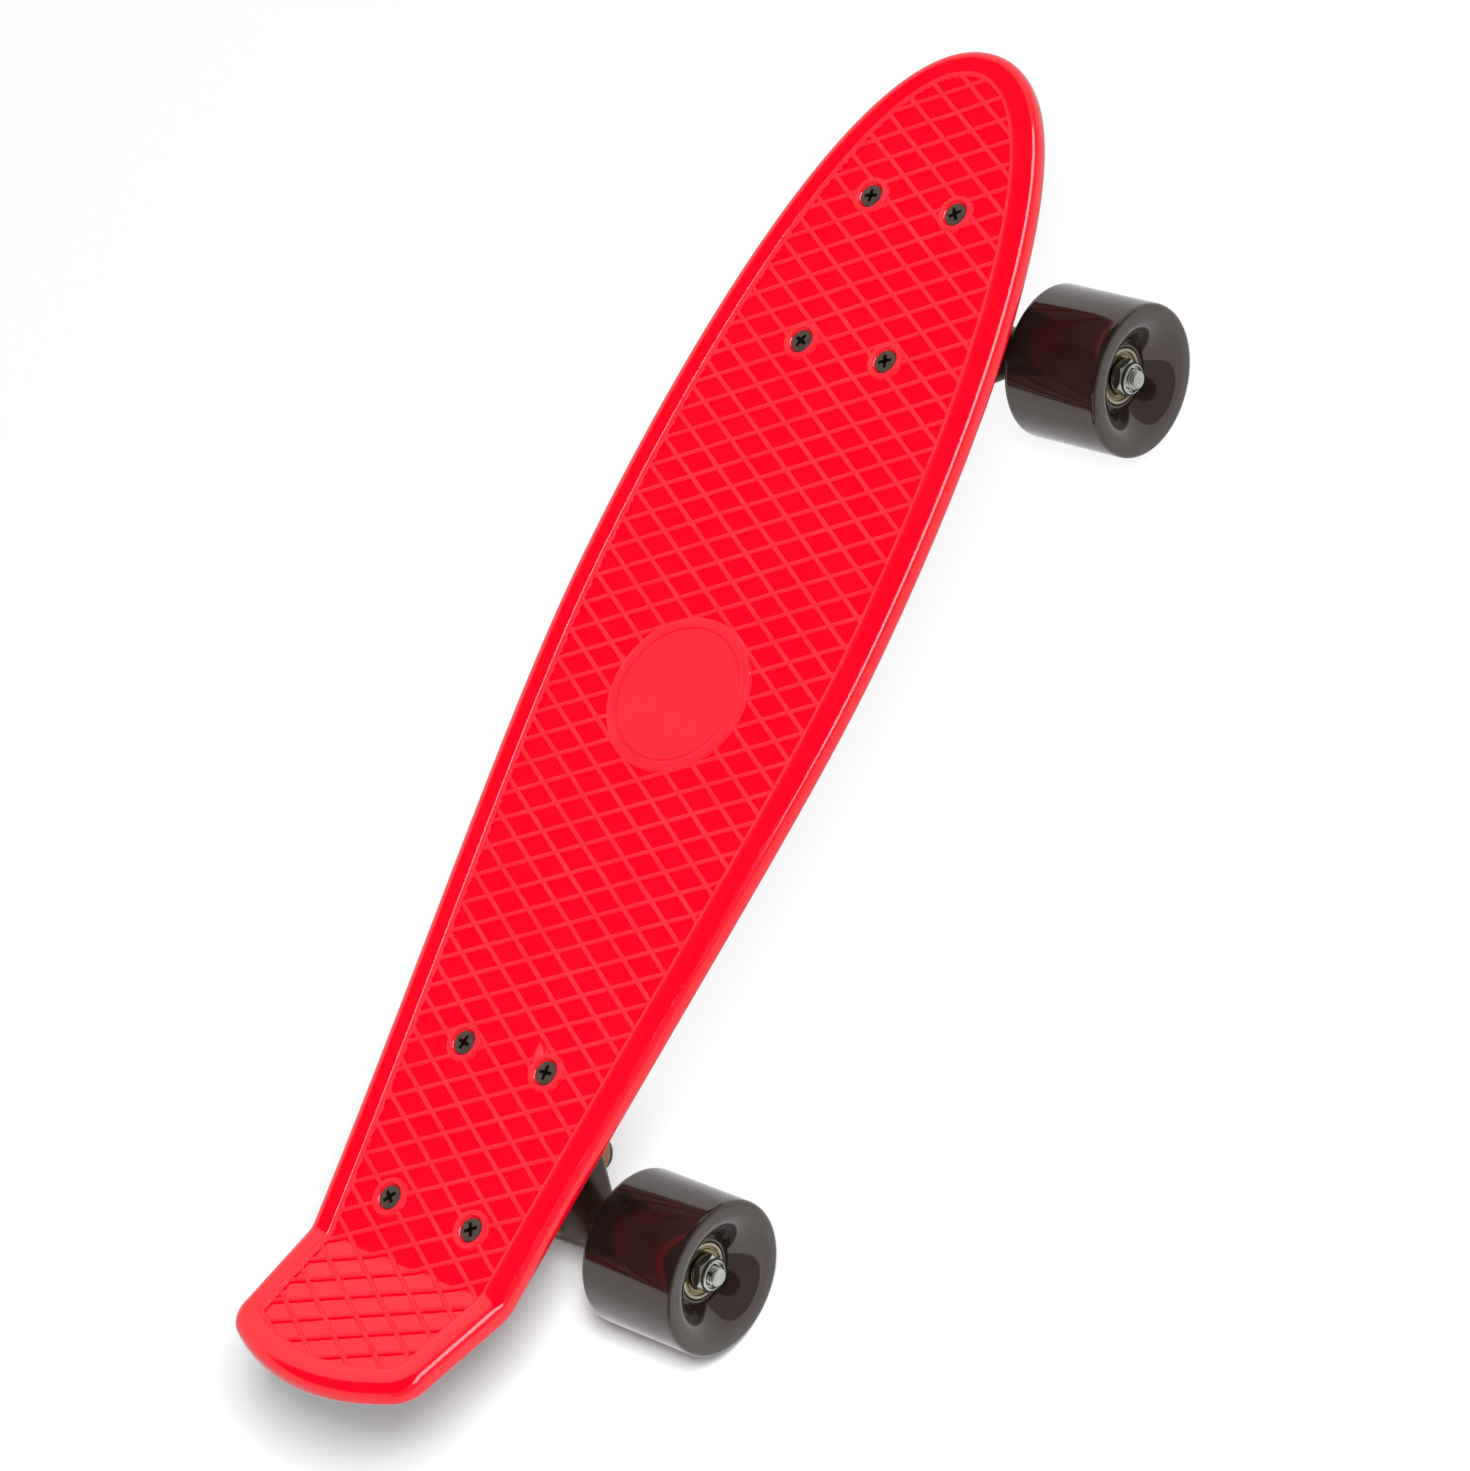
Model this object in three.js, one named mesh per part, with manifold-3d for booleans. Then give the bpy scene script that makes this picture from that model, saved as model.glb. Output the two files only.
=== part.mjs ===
import * as THREE from 'three';
import { mergeVertices } from 'three/addons/utils/BufferGeometryUtils.js';
import { ConvexGeometry } from 'three/addons/geometries/ConvexGeometry.js';
import Module from 'manifold-3d';

// A moulded plastic cruiser skateboard, in millimetres.
// X runs to the nose, Y to the left of a rider who faces the nose, Z up from the ground.
// The origin is on the ground under the middle of the board's length.

const wasm = await Module();
wasm.setup();

// Fits shared by every piece
const seatGap = 0.3; // between pieces that touch or nest
const overrun = 2; // how far a cutting solid runs past the face that it opens
const foldLap = 0.05; // how far the two halves of the deck run into each other at the fold

// Deck outline, seen from above
const deckLength = 563.6;
const deckWidth = 148.8;
const widestX = 44.3;
const noseBluntness = 55.5; // how far the nose curve leaves the tip straight across
const noseFullness = 111; // how far it leaves the widest point straight ahead
const sideFullness = 62.8; // how far the side leaves the widest point straight back
const waistWidth = 99.4;
const waistRun = 112.9; // how far ahead of the fold the side still runs straight
const waistSpread = 9.4; // what each side gains along that run
const tailLength = 61.6;
const tailWidth = 92.4;
const tailCornerRadius = 14;
const tailEndRadius = 82;
const kickAngle = THREE.MathUtils.degToRad(29);

// Deck section
const edgeDepth = 8.8;
const edgeTopRadius = 4.5;
const edgeBottomRadius = 2.4;
const skirtThickness = 5;
const sheetDepth = 5.2; // from the rim's top to the underside of the sheet
const rimWidth = 10.3;
const stiffenerWidth = 2.4;
const stiffenerPitch = 30;
const padLength = 88;
const padWidth = 63;
const padDepth = 12; // from the rim's top to the face that carries a truck
const padCornerRadius = 9;

// Waffle of diamond cells on the deck's top
const cellPitch = 11.8; // along the board
const ribAngle = THREE.MathUtils.degToRad(60);
const ribWidth = 1.9; // at the foot; a rib's section is peaked
const ribPeakDrop = 0.6; // below the rim's top
const cellDepth = 1.1; // cell floors below the rib peaks
const borderRibWidth = 1.3;
const ribDrop = 0.5; // top of the border rib below the rim's top
const medallionX = 6.8;
const medallionRadius = 31;
const medallionRimWidth = 4;
const medallionSink = 0.3;
const bossRadius = 7.4;
const cellSliver = 2.5; // a cell whose middle lies this far past a border is left solid

// Deck bolts
const noseOverhang = 98.6; // from the middle of the front bolt pattern to the nose
const tailOverhang = 108.2; // from the middle of the rear bolt pattern to the tail's end
const boltSpacingLong = 62.8;
const boltSpacingWide = 41.3;
const boltRadius = 2.4;
const boltLength = 25.4;
const boltHeadRadius = 4.6;
const boltHeadRim = 0.4;
const boltHeadSink = 1; // below the rim's top
const boltBoreRadius = 5.25;
const deckNutAcross = 9.5;
const deckNutHeight = 5.5;
const deckNutCollarHeight = 1.6;

// Truck
const axleDrop = 55.5; // from the baseplate's face to the axle
const axleOffset = 7.4; // from the middle of the bolt pattern to the axle, away from the board's middle
const kingpinTilt = THREE.MathUtils.degToRad(19);
const kingpinFootX = -1.5; // where the kingpin's line meets the baseplate's face
const kingpinRadius = 4.75;
const kingpinHeadTop = 4; // below the baseplate's face, along the kingpin
const kingpinHeadHeight = 6;
const kingpinHeadAcross = 14.3;
const kingpinTipLength = 1.6; // thread that shows past the nut
const kingpinNutHeight = 6.2;
const kingpinNutCollarHeight = 2.4;
const collarShare = 0.95; // a lock nut's collar against its width across flats
const washerThickness = 2;
const washerRadius = 12.6;
const washerLip = 1;
const roadWasherThickness = 1.5;
const roadWasherRadius = 10.4;
const boardBushingHeight = 13.2;
const boardBushingRadius = 12.6;
const roadBushingHeight = 12;
const roadBushingTipRadius = 12;
const bushingBulge = 0.8;
const ringThickness = 9; // of the hanger's ring between its two bushings
const ringRadius = 16;
const ringCupDepth = 1.6;
const ringHoleRadius = 6.8;
const plateLength = 80;
const plateWidth = 55;
const plateThickness = 5;
const plateCornerRadius = 7;
const seatRise = 21.2; // from the baseplate's face to its bushing seat, along the kingpin
const seatRadius = 13;
const humpLength = 34;
const humpWidth = 30;
const pivotX = -29;
const pivotDrop = 12;
const pivotRadius = 5.2;
const pivotLength = 15; // straight length of the hanger's pivot
const pivotCupWall = 1.7;
const pivotCupLength = 6; // of the cup's wall, from the pivot's tip centre to the cup's mouth
const pivotHousingWall = 3;
const pivotRelief = 1.2; // free space around the pivot's neck
const housingRadius = 9; // of the hanger around the axle
const housingEndRadius = 8.2;
const shoulderX = 24; // half the width over which the ring's web joins the axle housing
const armHalfWidth = 12;
const armRadius = 6.5;
const axleRadius = 4;
const axleLength = 162.8;
const axleChamfer = 0.8;
const axleTipLength = 2.2; // thread that shows past the nut

// Wheel and bearings
const wheelRadius = 29.8;
const wheelWidth = 44;
const wheelShoulderRadius = 2.5;
const wheelLipRadius = 24; // where the outer face is widest
const bowlRadius = 21.8; // where the outer face turns in to the bearing
const bowlSetback = 1.6;
const outerRecess = 10.5; // from the wheel's outer face to the bearing
const innerRecess = 9.5;
const hubRadius = 13;
const wheelBoreRadius = 8.5; // between the two bearings
const bearingRadius = 11;
const bearingWidth = 7;
const shieldOuterRadius = 9.4;
const shieldSink = 0.35;
const spacerRadius = 5.6;
const speedWasherRadius = 6.6;
const speedWasherThickness = 0.8;
const axleNutAcross = 13;
const axleNutHeight = 4.8;
const axleNutCollarHeight = 1.9;

// Facets around the round pieces
const discFacets = 32;
const wheelFacets = 24;
const trunkFacets = 12;
const roundFacets = 12;
const smallFacets = 8;
const noseSteps = 14;
const sideSteps = 9;
const cornerSteps = 4;
const tailEndSteps = 3;
const plateCornerSteps = 3;

// Places worked out from the sizes above
const deckTop = wheelRadius + axleDrop + padDepth;
const baseZ = deckTop - padDepth;
const noseX = deckLength / 2;
const tailReach = tailLength * Math.cos(kickAngle) + edgeTopRadius * Math.sin(kickAngle);
const foldX = tailReach - deckLength / 2;
const patternX = { front: noseX - noseOverhang, rear: tailOverhang - noseX };
const bearingSpacing = wheelWidth - outerRecess - innerRecess - 2 * bearingWidth;
const hangerEndY = axleLength / 2 - axleTipLength - axleNutHeight - 2 * speedWasherThickness
  - 2 * seatGap - 2 * bearingWidth - bearingSpacing;

const materials = {
  deck: { color: 0xff0022, roughness: 0.28, metalness: 0 },
  blackPaint: { color: 0x16120f, roughness: 0.42, metalness: 0.1 },
  blackSteel: { color: 0x2a211c, roughness: 0.4, metalness: 0.8 },
  zinc: { color: 0xc9ccc8, roughness: 0.3, metalness: 1 },
  bearingSteel: { color: 0xb9ad8e, roughness: 0.3, metalness: 1 },
  urethane: { color: 0x3a3033, roughness: 0.22, metalness: 0 },
  amber: { color: 0xc9711c, roughness: 0.35, metalness: 0 },
  nylon: { color: 0x1b1b1c, roughness: 0.5, metalness: 0 },
};

// Solids

// Makes a closed geometry into a solid with its faces pointing out
function solid(geometry) {
  const bare = geometry.clone();
  bare.deleteAttribute('normal');
  bare.deleteAttribute('uv');
  const merged = mergeVertices(bare);
  const places = merged.attributes.position.array;
  const index = merged.index.array;
  const corner = [0, 1, 2].map(() => new THREE.Vector3());
  const triangles = [];
  let volume = 0;
  for (let i = 0; i < index.length; i += 3) {
    const [a, b, c] = index.slice(i, i + 3);
    if (a === b || b === c || c === a) continue;
    triangles.push(a, b, c);
    corner.forEach((point, k) => point.fromArray(places, index[i + k] * 3));
    volume += corner[0].dot(corner[1].cross(corner[2]));
  }
  const triVerts = new Uint32Array(volume > 0 ? triangles : triangles.reverse());
  return new wasm.Manifold(new wasm.Mesh({ numProp: 3, vertProperties: new Float32Array(places), triVerts }));
}

function geometryOf(body) {
  const { vertProperties, triVerts } = body.getMesh();
  const geometry = new THREE.BufferGeometry();
  geometry.setAttribute('position', new THREE.BufferAttribute(vertProperties, 3));
  geometry.setIndex(new THREE.BufferAttribute(triVerts, 1));
  return geometry;
}

const joined = (first, ...others) => others.reduce((sum, body) => sum.add(body), first);
const cut = (first, ...others) => others.reduce((rest, body) => rest.subtract(body), first);

// A turned body on the Z axis; its profile is a list of [radius, height]
function turned(profile, facets, start = 0) {
  const points = profile.map(([radius, height]) => new THREE.Vector2(radius, height));
  return new THREE.LatheGeometry(points, facets, start).rotateX(Math.PI / 2);
}

// A turned body with a bore: the profile closes on itself
const turnedRing = (profile, facets, start) => turned([...profile, profile[0]], facets, start);

// The radius of a faceted bore in which a round of the given radius has the shared clearance
const clearRadius = (radius, facets) => (radius + seatGap) / Math.cos(Math.PI / facets);

const rod = (radius, from, to, facets) => turned([[0, from], [radius, from], [radius, to], [0, to]], facets);

// A hexagonal prism on the Z axis with two flats facing Y
const hexagon = (across, from, to) => rod(across / Math.sqrt(3), from, to, 6);

function prism(outline, from, to) {
  const shape = new THREE.Shape(outline);
  return new THREE.ExtrudeGeometry(shape, { depth: to - from, bevelEnabled: false }).translate(0, 0, from);
}

function roundedRectangle(length, width, radius) {
  const shape = new THREE.Shape();
  const x = length / 2 - radius;
  const y = width / 2 - radius;
  shape.absarc(x, y, radius, 0, Math.PI / 2);
  shape.absarc(-x, y, radius, Math.PI / 2, Math.PI);
  shape.absarc(-x, -y, radius, Math.PI, 1.5 * Math.PI);
  shape.absarc(x, -y, radius, 1.5 * Math.PI, 2 * Math.PI);
  return shape.extractPoints(plateCornerSteps).shape.slice(0, -1);
}

// Points on a circle that lies across a frame's Z axis
function circle(frame, radius, height, facets) {
  return Array.from({ length: facets }, (_, i) => {
    const angle = (i / facets) * 2 * Math.PI;
    return new THREE.Vector3(radius * Math.cos(angle), radius * Math.sin(angle), height).applyMatrix4(frame);
  });
}

// A closed skin through rings that have the same number of points, flat at both ends
function loft(rings) {
  const count = rings[0].length;
  const places = rings.flat().flatMap((point) => [point.x, point.y, point.z]);
  const index = [];
  for (let ring = 0; ring + 1 < rings.length; ring += 1) {
    for (let i = 0; i < count; i += 1) {
      const next = (i + 1) % count;
      const low = ring * count;
      const high = low + count;
      index.push(low + i, low + next, high + next, low + i, high + next, high + i);
    }
  }
  const cap = THREE.ShapeUtils.triangulateShape(rings[0], []);
  const last = (rings.length - 1) * count;
  cap.forEach(([a, b, c]) => index.push(c, b, a, last + a, last + b, last + c));
  const geometry = new THREE.BufferGeometry();
  geometry.setAttribute('position', new THREE.Float32BufferAttribute(places, 3));
  geometry.setIndex(index);
  return geometry;
}

// Moves each point of an anticlockwise outline inwards
function inset(outline, distance) {
  return outline.map((point, i) => {
    const before = outline[(i + outline.length - 1) % outline.length];
    const after = outline[(i + 1) % outline.length];
    const arriving = point.clone().sub(before).normalize();
    const leaving = after.clone().sub(point).normalize();
    const inward = new THREE.Vector2(-arriving.y - leaving.y, arriving.x + leaving.x).normalize();
    const reach = distance / inward.dot(new THREE.Vector2(-arriving.y, arriving.x));
    return point.clone().addScaledVector(inward, reach);
  });
}

// Deck

// Both halves of the deck run straight on past the fold by this much, to be mitred there
const foldExtension = rimWidth + borderRibWidth + edgeDepth;

// Outline of the flat half: one side from the nose to past the fold, then its mirror image
function mainOutline() {
  const tip = new THREE.Vector2(noseX, 0);
  const widest = new THREE.Vector2(widestX, deckWidth / 2);
  const waist = new THREE.Vector2(foldX, waistWidth / 2);
  const nose = new THREE.CubicBezierCurve(
    tip,
    new THREE.Vector2(noseX, noseBluntness),
    new THREE.Vector2(widestX + noseFullness, deckWidth / 2),
    widest,
  );
  const side = new THREE.CubicBezierCurve(
    widest,
    new THREE.Vector2(widestX - sideFullness, deckWidth / 2),
    new THREE.Vector2(foldX + waistRun, waistWidth / 2 + waistSpread),
    waist,
  );
  const end = new THREE.Vector2(foldX - foldExtension, waistWidth / 2);
  const left = [...nose.getPoints(noseSteps), ...side.getPoints(sideSteps).slice(1), end];
  return closedOutline(left);
}

// Outline of the tail before it is kicked up, with X still running to the nose
function tailOutline() {
  const corner = new THREE.Vector2(0, tailWidth / 2 - tailCornerRadius);
  const endMiddleX = foldX - tailLength + tailEndRadius;
  corner.x = endMiddleX - Math.sqrt((tailEndRadius - tailCornerRadius) ** 2 - corner.y ** 2);
  const endAngle = Math.atan2(corner.y, corner.x - endMiddleX);
  const bend = new THREE.EllipseCurve(
    corner.x, corner.y, tailCornerRadius, tailCornerRadius, Math.PI / 2, endAngle,
  );
  const end = new THREE.EllipseCurve(endMiddleX, 0, tailEndRadius, tailEndRadius, endAngle, Math.PI);
  const left = [
    new THREE.Vector2(foldX + foldExtension, waistWidth / 2),
    new THREE.Vector2(foldX, waistWidth / 2),
    ...bend.getPoints(cornerSteps),
    ...end.getPoints(tailEndSteps).slice(1),
  ];
  return closedOutline(left.reverse());
}

// Closes one side with its mirror image, anticlockwise; the first point is on the middle line
function closedOutline(left) {
  const right = left.slice(1).map((point) => new THREE.Vector2(point.x, -point.y));
  const outline = [...left, ...right.reverse()];
  return THREE.ShapeUtils.isClockWise(outline) ? outline.reverse() : outline;
}

// The slab with its rounded edge, the rim's top at zero height
function edgedSlab(outline) {
  const ring = (distance, height) => inset(outline, distance)
    .map((point) => new THREE.Vector3(point.x, point.y, height));
  const bottom = [0, 45, 90].map((degrees) => {
    const angle = THREE.MathUtils.degToRad(degrees);
    const distance = edgeBottomRadius * (1 - Math.sin(angle));
    return ring(distance, -edgeDepth + edgeBottomRadius * (1 - Math.cos(angle)));
  });
  const top = [90, 45, 0].map((degrees) => {
    const angle = THREE.MathUtils.degToRad(degrees);
    return ring(edgeTopRadius * (1 - Math.sin(angle)), -edgeTopRadius * (1 - Math.cos(angle)));
  });
  return loft([...bottom, ...top]);
}

function isInside(outline, point) {
  let inside = false;
  outline.forEach((start, i) => {
    const end = outline[(i + 1) % outline.length];
    if ((start.y > point.y) === (end.y > point.y)) return;
    const crossing = start.x + ((point.y - start.y) / (end.y - start.y)) * (end.x - start.x);
    if (crossing > point.x) inside = !inside;
  });
  return inside;
}

// The air over the waffle as one block: its underside has a pocket for each diamond cell, and the
// ribs are the peaks between neighbouring pockets. A crossing of ribs lies on the medallion's middle.
function waffleTool(border, islands) {
  const halfLong = cellPitch / 2;
  const halfWide = halfLong * Math.tan(ribAngle);
  const floorShare = 1 - ribWidth / 2 / (halfLong * Math.sin(ribAngle));
  const xs = border.map((point) => point.x);
  const first = Math.floor((Math.min(...xs) - medallionX) / halfLong);
  const last = Math.ceil((Math.max(...xs) - medallionX) / halfLong);
  const rows = Math.ceil(deckWidth / 2 / halfWide);
  const places = [];
  const index = [];
  const sides = new Map();
  const vertex = (x, y, z) => places.push(x, y, z) / 3 - 1;
  const quad = (a, b, c, d) => index.push(a, b, c, a, c, d);
  for (let row = -rows; row <= rows; row += 1) {
    for (let column = first; column <= last; column += 1) {
      if ((row + column) % 2 === 0) continue;
      const middle = new THREE.Vector2(medallionX + column * halfLong, row * halfWide);
      if (!isInside(border, middle)) continue;
      if (islands.some(({ place, radius }) => middle.distanceTo(place) < radius - cellSliver)) continue;
      const corners = [[1, 0], [0, 1], [-1, 0], [0, -1]];
      const ring = (share, z) => corners.map(([along, across]) => vertex(
        middle.x + along * share * halfLong,
        middle.y + across * share * halfWide,
        z,
      ));
      const floor = ring(floorShare, -ribPeakDrop - cellDepth);
      const peak = ring(1, -ribPeakDrop);
      const top = ring(1, overrun);
      quad(floor[3], floor[2], floor[1], floor[0]);
      quad(top[0], top[1], top[2], top[3]);
      corners.forEach(([along, across], k) => {
        const next = (k + 1) % 4;
        const [alongNext, acrossNext] = corners[next];
        quad(floor[k], floor[next], peak[next], peak[k]);
        const key = `${2 * column + along + alongNext} ${2 * row + across + acrossNext}`;
        if (sides.has(key)) sides.delete(key);
        else sides.set(key, [peak[k], peak[next], top[next], top[k]]);
      });
    }
  }
  sides.forEach((side) => quad(...side));
  const geometry = new THREE.BufferGeometry();
  geometry.setAttribute('position', new THREE.Float32BufferAttribute(places, 3));
  geometry.setIndex(index);
  return geometry;
}

const boltPlaces = [1, -1].flatMap((along) => [1, -1].map((across) => (
  [along * boltSpacingLong / 2, across * boltSpacingWide / 2]
)));

const deckBoltPlaces = Object.values(patternX).flatMap((middle) => (
  boltPlaces.map(([x, y]) => [middle + x, y])
));

// One half of the deck in its own flat frame, which the matrix then places
function deckHalf(outline, placing) {
  const body = (geometry) => solid(geometry.applyMatrix4(placing));
  const flats = [
    { place: new THREE.Vector2(medallionX, 0), radius: medallionRadius, facets: discFacets },
    ...deckBoltPlaces.map(([x, y]) => (
      { place: new THREE.Vector2(x, y), radius: bossRadius, facets: smallFacets }
    )),
  ];
  const islands = flats.map(({ place, radius, facets }) => body(
    rod(radius, -edgeDepth, 2 * overrun, facets).translate(place.x, place.y, 0),
  ));
  const field = body(prism(inset(outline, rimWidth), -ribDrop, overrun));
  const waffleField = body(prism(inset(outline, rimWidth + borderRibWidth), -edgeDepth, 2 * overrun));
  const cellLimit = inset(outline, rimWidth + borderRibWidth - cellSliver);
  const waffle = body(waffleTool(cellLimit, flats));
  const hollow = body(prism(inset(outline, skirtThickness), -edgeDepth - overrun, -sheetDepth));
  const stiffeners = [-1, 0, 1].map((step) => body(
    new THREE.BoxGeometry(2 * deckLength, stiffenerWidth, edgeDepth)
      .translate(0, step * stiffenerPitch, -edgeDepth / 2),
  ));
  return cut(
    body(edgedSlab(outline)),
    cut(field, ...islands),
    cut(waffle.intersect(waffleField), ...islands),
    cut(hollow, ...stiffeners),
  );
}

// A block that fills everything on one side of the fold's mitre plane
function mitreBlock(side, lap) {
  const block = new THREE.BoxGeometry(2 * deckLength, 2 * deckWidth, 2 * deckLength);
  block.translate(side * (deckLength - lap), 0, 0);
  return solid(block.rotateY(kickAngle / 2).translate(foldX, 0, 0));
}

// Turns the flat tail up about the fold line
function kickMatrix() {
  const fold = new THREE.Matrix4().makeTranslation(foldX, 0, 0);
  const turn = new THREE.Matrix4().makeRotationY(kickAngle);
  return fold.clone().multiply(turn).multiply(fold.clone().invert());
}

function countersink() {
  const holeRadius = clearRadius(boltRadius, smallFacets);
  const coneTop = boltHeadSink + boltHeadRim + boltHeadRadius + seatGap * Math.SQRT2 - boltBoreRadius;
  const coneEnd = coneTop + boltBoreRadius - holeRadius;
  return turned([
    [0, overrun],
    [boltBoreRadius, overrun],
    [boltBoreRadius, -coneTop],
    [holeRadius, -coneEnd],
    [holeRadius, -padDepth - overrun],
    [0, -padDepth - overrun],
  ], smallFacets);
}

function deck() {
  const flat = new THREE.Matrix4();
  const main = deckHalf(mainOutline(), flat).intersect(mitreBlock(1, 0));
  const tail = deckHalf(tailOutline(), kickMatrix()).intersect(mitreBlock(-1, foldLap));
  const padOutline = roundedRectangle(padLength, padWidth, padCornerRadius);
  const pads = Object.values(patternX).map((x) => solid(
    prism(padOutline, -padDepth, -(edgeTopRadius + sheetDepth) / 2).translate(x, 0, 0),
  ));
  const holes = deckBoltPlaces.map(([x, y]) => solid(countersink().translate(x, y, 0)));
  const dish = solid(rod(medallionRadius - medallionRimWidth, -medallionSink, overrun, discFacets)
    .translate(medallionX, 0, 0));
  return cut(joined(main, tail, ...pads), ...holes, dish);
}

function deckBolt() {
  const coneDepth = boltHeadRadius - boltRadius;
  return turned([
    [0, 0],
    [boltHeadRadius, 0],
    [boltHeadRadius, -boltHeadRim],
    [boltRadius, -boltHeadRim - coneDepth],
    [boltRadius, -boltLength],
    [0, -boltLength],
  ], smallFacets);
}

// A lock nut on the Z axis that seats at zero height, its collar away from the seat
function lockNut(across, height, collarHeight, threadRadius) {
  const collarRadius = (across / 2) * collarShare;
  const body = joined(
    solid(hexagon(across, 0, height - collarHeight)),
    solid(rod(collarRadius, height / 2 - collarHeight / 2, height, smallFacets)),
  );
  const bore = clearRadius(threadRadius, smallFacets);
  return cut(body, solid(rod(bore, -overrun, height + overrun, smallFacets)));
}

// Truck, in a frame with its origin on the baseplate's face, X to the board's middle, Z up

// Heights along the kingpin, measured down from the baseplate's face
const boardWasherAt = seatRise + seatGap;
const boardBushingAt = boardWasherAt + washerThickness + seatGap;
const ringAt = boardBushingAt + boardBushingHeight + seatGap;
const roadBushingAt = ringAt + ringThickness + seatGap;
const roadWasherAt = roadBushingAt + roadBushingHeight + seatGap;
const kingpinNutAt = roadWasherAt + roadWasherThickness + seatGap;
const kingpinTipAt = kingpinNutAt + kingpinNutHeight + kingpinTipLength;

// The kingpin's frame has Z along the kingpin, up into the deck
const kingpinFrame = new THREE.Matrix4().makeTranslation(kingpinFootX, 0, 0)
  .multiply(new THREE.Matrix4().makeRotationY(-kingpinTilt));

const pivotPoint = new THREE.Vector3(pivotX, 0, -pivotDrop);
const ringMiddle = new THREE.Vector3(0, 0, -ringAt - ringThickness / 2).applyMatrix4(kingpinFrame);
const steeringTilt = Math.atan2(pivotPoint.z - ringMiddle.z, ringMiddle.x - pivotPoint.x);

// The steering frame has Z along the steering axis, from the pivot's tip down to the ring
const steeringFrame = new THREE.Matrix4().makeTranslation(pivotPoint.x, 0, pivotPoint.z)
  .multiply(new THREE.Matrix4().makeRotationY(Math.PI / 2 + steeringTilt));

const axlePlace = new THREE.Vector3(-axleOffset, 0, -axleDrop);
const axleFrame = new THREE.Matrix4().makeTranslation(axlePlace.x, 0, axlePlace.z)
  .multiply(new THREE.Matrix4().makeRotationX(-Math.PI / 2));

const onKingpin = (geometry) => solid(geometry.applyMatrix4(kingpinFrame));
const onSteering = (geometry) => solid(geometry.applyMatrix4(steeringFrame));
const onAxle = (geometry) => solid(geometry.applyMatrix4(axleFrame));

function baseplate() {
  const plateOutline = roundedRectangle(plateLength, plateWidth, plateCornerRadius);
  const plate = solid(prism(plateOutline, -plateThickness, 0));
  const cupRadius = clearRadius(pivotRadius, roundFacets) + pivotCupWall;
  const socketRadius = cupRadius + seatGap;
  const housing = [-socketRadius - pivotHousingWall / 2, pivotCupLength].flatMap((height) => (
    circle(steeringFrame, socketRadius + pivotHousingWall, height, roundFacets)
  ));
  const foot = circle(new THREE.Matrix4(), socketRadius + pivotHousingWall, -plateThickness / 2, roundFacets)
    .map((point) => point.add(new THREE.Vector3(pivotX, 0, 0)));
  const humpFoot = [1, -1].flatMap((along) => [1, -1].map((across) => (
    new THREE.Vector3(along * humpLength / 2, across * humpWidth / 2, -plateThickness / 2)
  )));
  const seat = circle(kingpinFrame, seatRadius, -seatRise, trunkFacets);
  const gusset = [
    ...[1, -1].map((side) => new THREE.Vector3(pivotX, side * pivotRadius, -plateThickness / 2)),
    ...[1, -1].map((side) => new THREE.Vector3(0, side * pivotRadius, -plateThickness / 2)),
    ...[1, -1].map((side) => new THREE.Vector3(pivotX, side * pivotRadius, -pivotDrop)),
    ...[1, -1].map((side) => new THREE.Vector3(0, side * pivotRadius, -pivotDrop)),
  ];
  const body = joined(
    plate,
    solid(new ConvexGeometry([...housing, ...foot])),
    solid(new ConvexGeometry([...humpFoot, ...seat])),
    solid(new ConvexGeometry(gusset)),
  );
  const ceiling = solid(new THREE.BoxGeometry(2 * plateLength, 2 * plateLength, plateLength)
    .translate(0, 0, plateLength / 2));
  const reliefRadius = pivotRadius + pivotRelief;
  const kingpinBore = rod(clearRadius(kingpinRadius, roundFacets), -seatRise - overrun, overrun, roundFacets);
  const headSocketBottom = -kingpinHeadTop - kingpinHeadHeight - seatGap;
  const boltBore = rod(clearRadius(boltRadius, smallFacets), -plateThickness - overrun, overrun, smallFacets);
  return cut(
    body,
    ceiling,
    onSteering(rod(socketRadius, -socketRadius, pivotCupLength + overrun, roundFacets)),
    onSteering(rod(reliefRadius, 0, ringMiddle.distanceTo(pivotPoint), roundFacets)),
    onKingpin(kingpinBore),
    onKingpin(hexagon(kingpinHeadAcross + 2 * seatGap, headSocketBottom, seatRise)),
    ...boltPlaces.map(([x, y]) => solid(boltBore.clone().translate(x, y, 0))),
  );
}

// Half a round tip as a profile, from the axis out
const pivotTip = (radius) => [90, 60, 30, 0].map(THREE.MathUtils.degToRad)
  .map((angle) => [radius * Math.cos(angle), -radius * Math.sin(angle)]);

// The plastic cup in the baseplate in which the hanger's pivot turns
function pivotCup() {
  const inner = clearRadius(pivotRadius, roundFacets);
  const outer = inner + pivotCupWall;
  return turned([
    ...pivotTip(inner),
    [inner, pivotCupLength - pivotCupWall],
    [outer, pivotCupLength - pivotCupWall],
    [outer, -inner],
    [outer - pivotCupWall, -outer],
    [0, -outer],
  ], roundFacets);
}

function kingpin() {
  const head = hexagon(kingpinHeadAcross, -kingpinHeadTop - kingpinHeadHeight, -kingpinHeadTop);
  const shank = turned([
    [0, -kingpinHeadTop - kingpinHeadHeight / 2],
    [kingpinRadius, -kingpinHeadTop - kingpinHeadHeight / 2],
    [kingpinRadius, -kingpinTipAt + kingpinTipLength / 2],
    [kingpinRadius - kingpinTipLength / 2, -kingpinTipAt],
    [0, -kingpinTipAt],
  ], roundFacets);
  return joined(solid(head), solid(shank));
}

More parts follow.
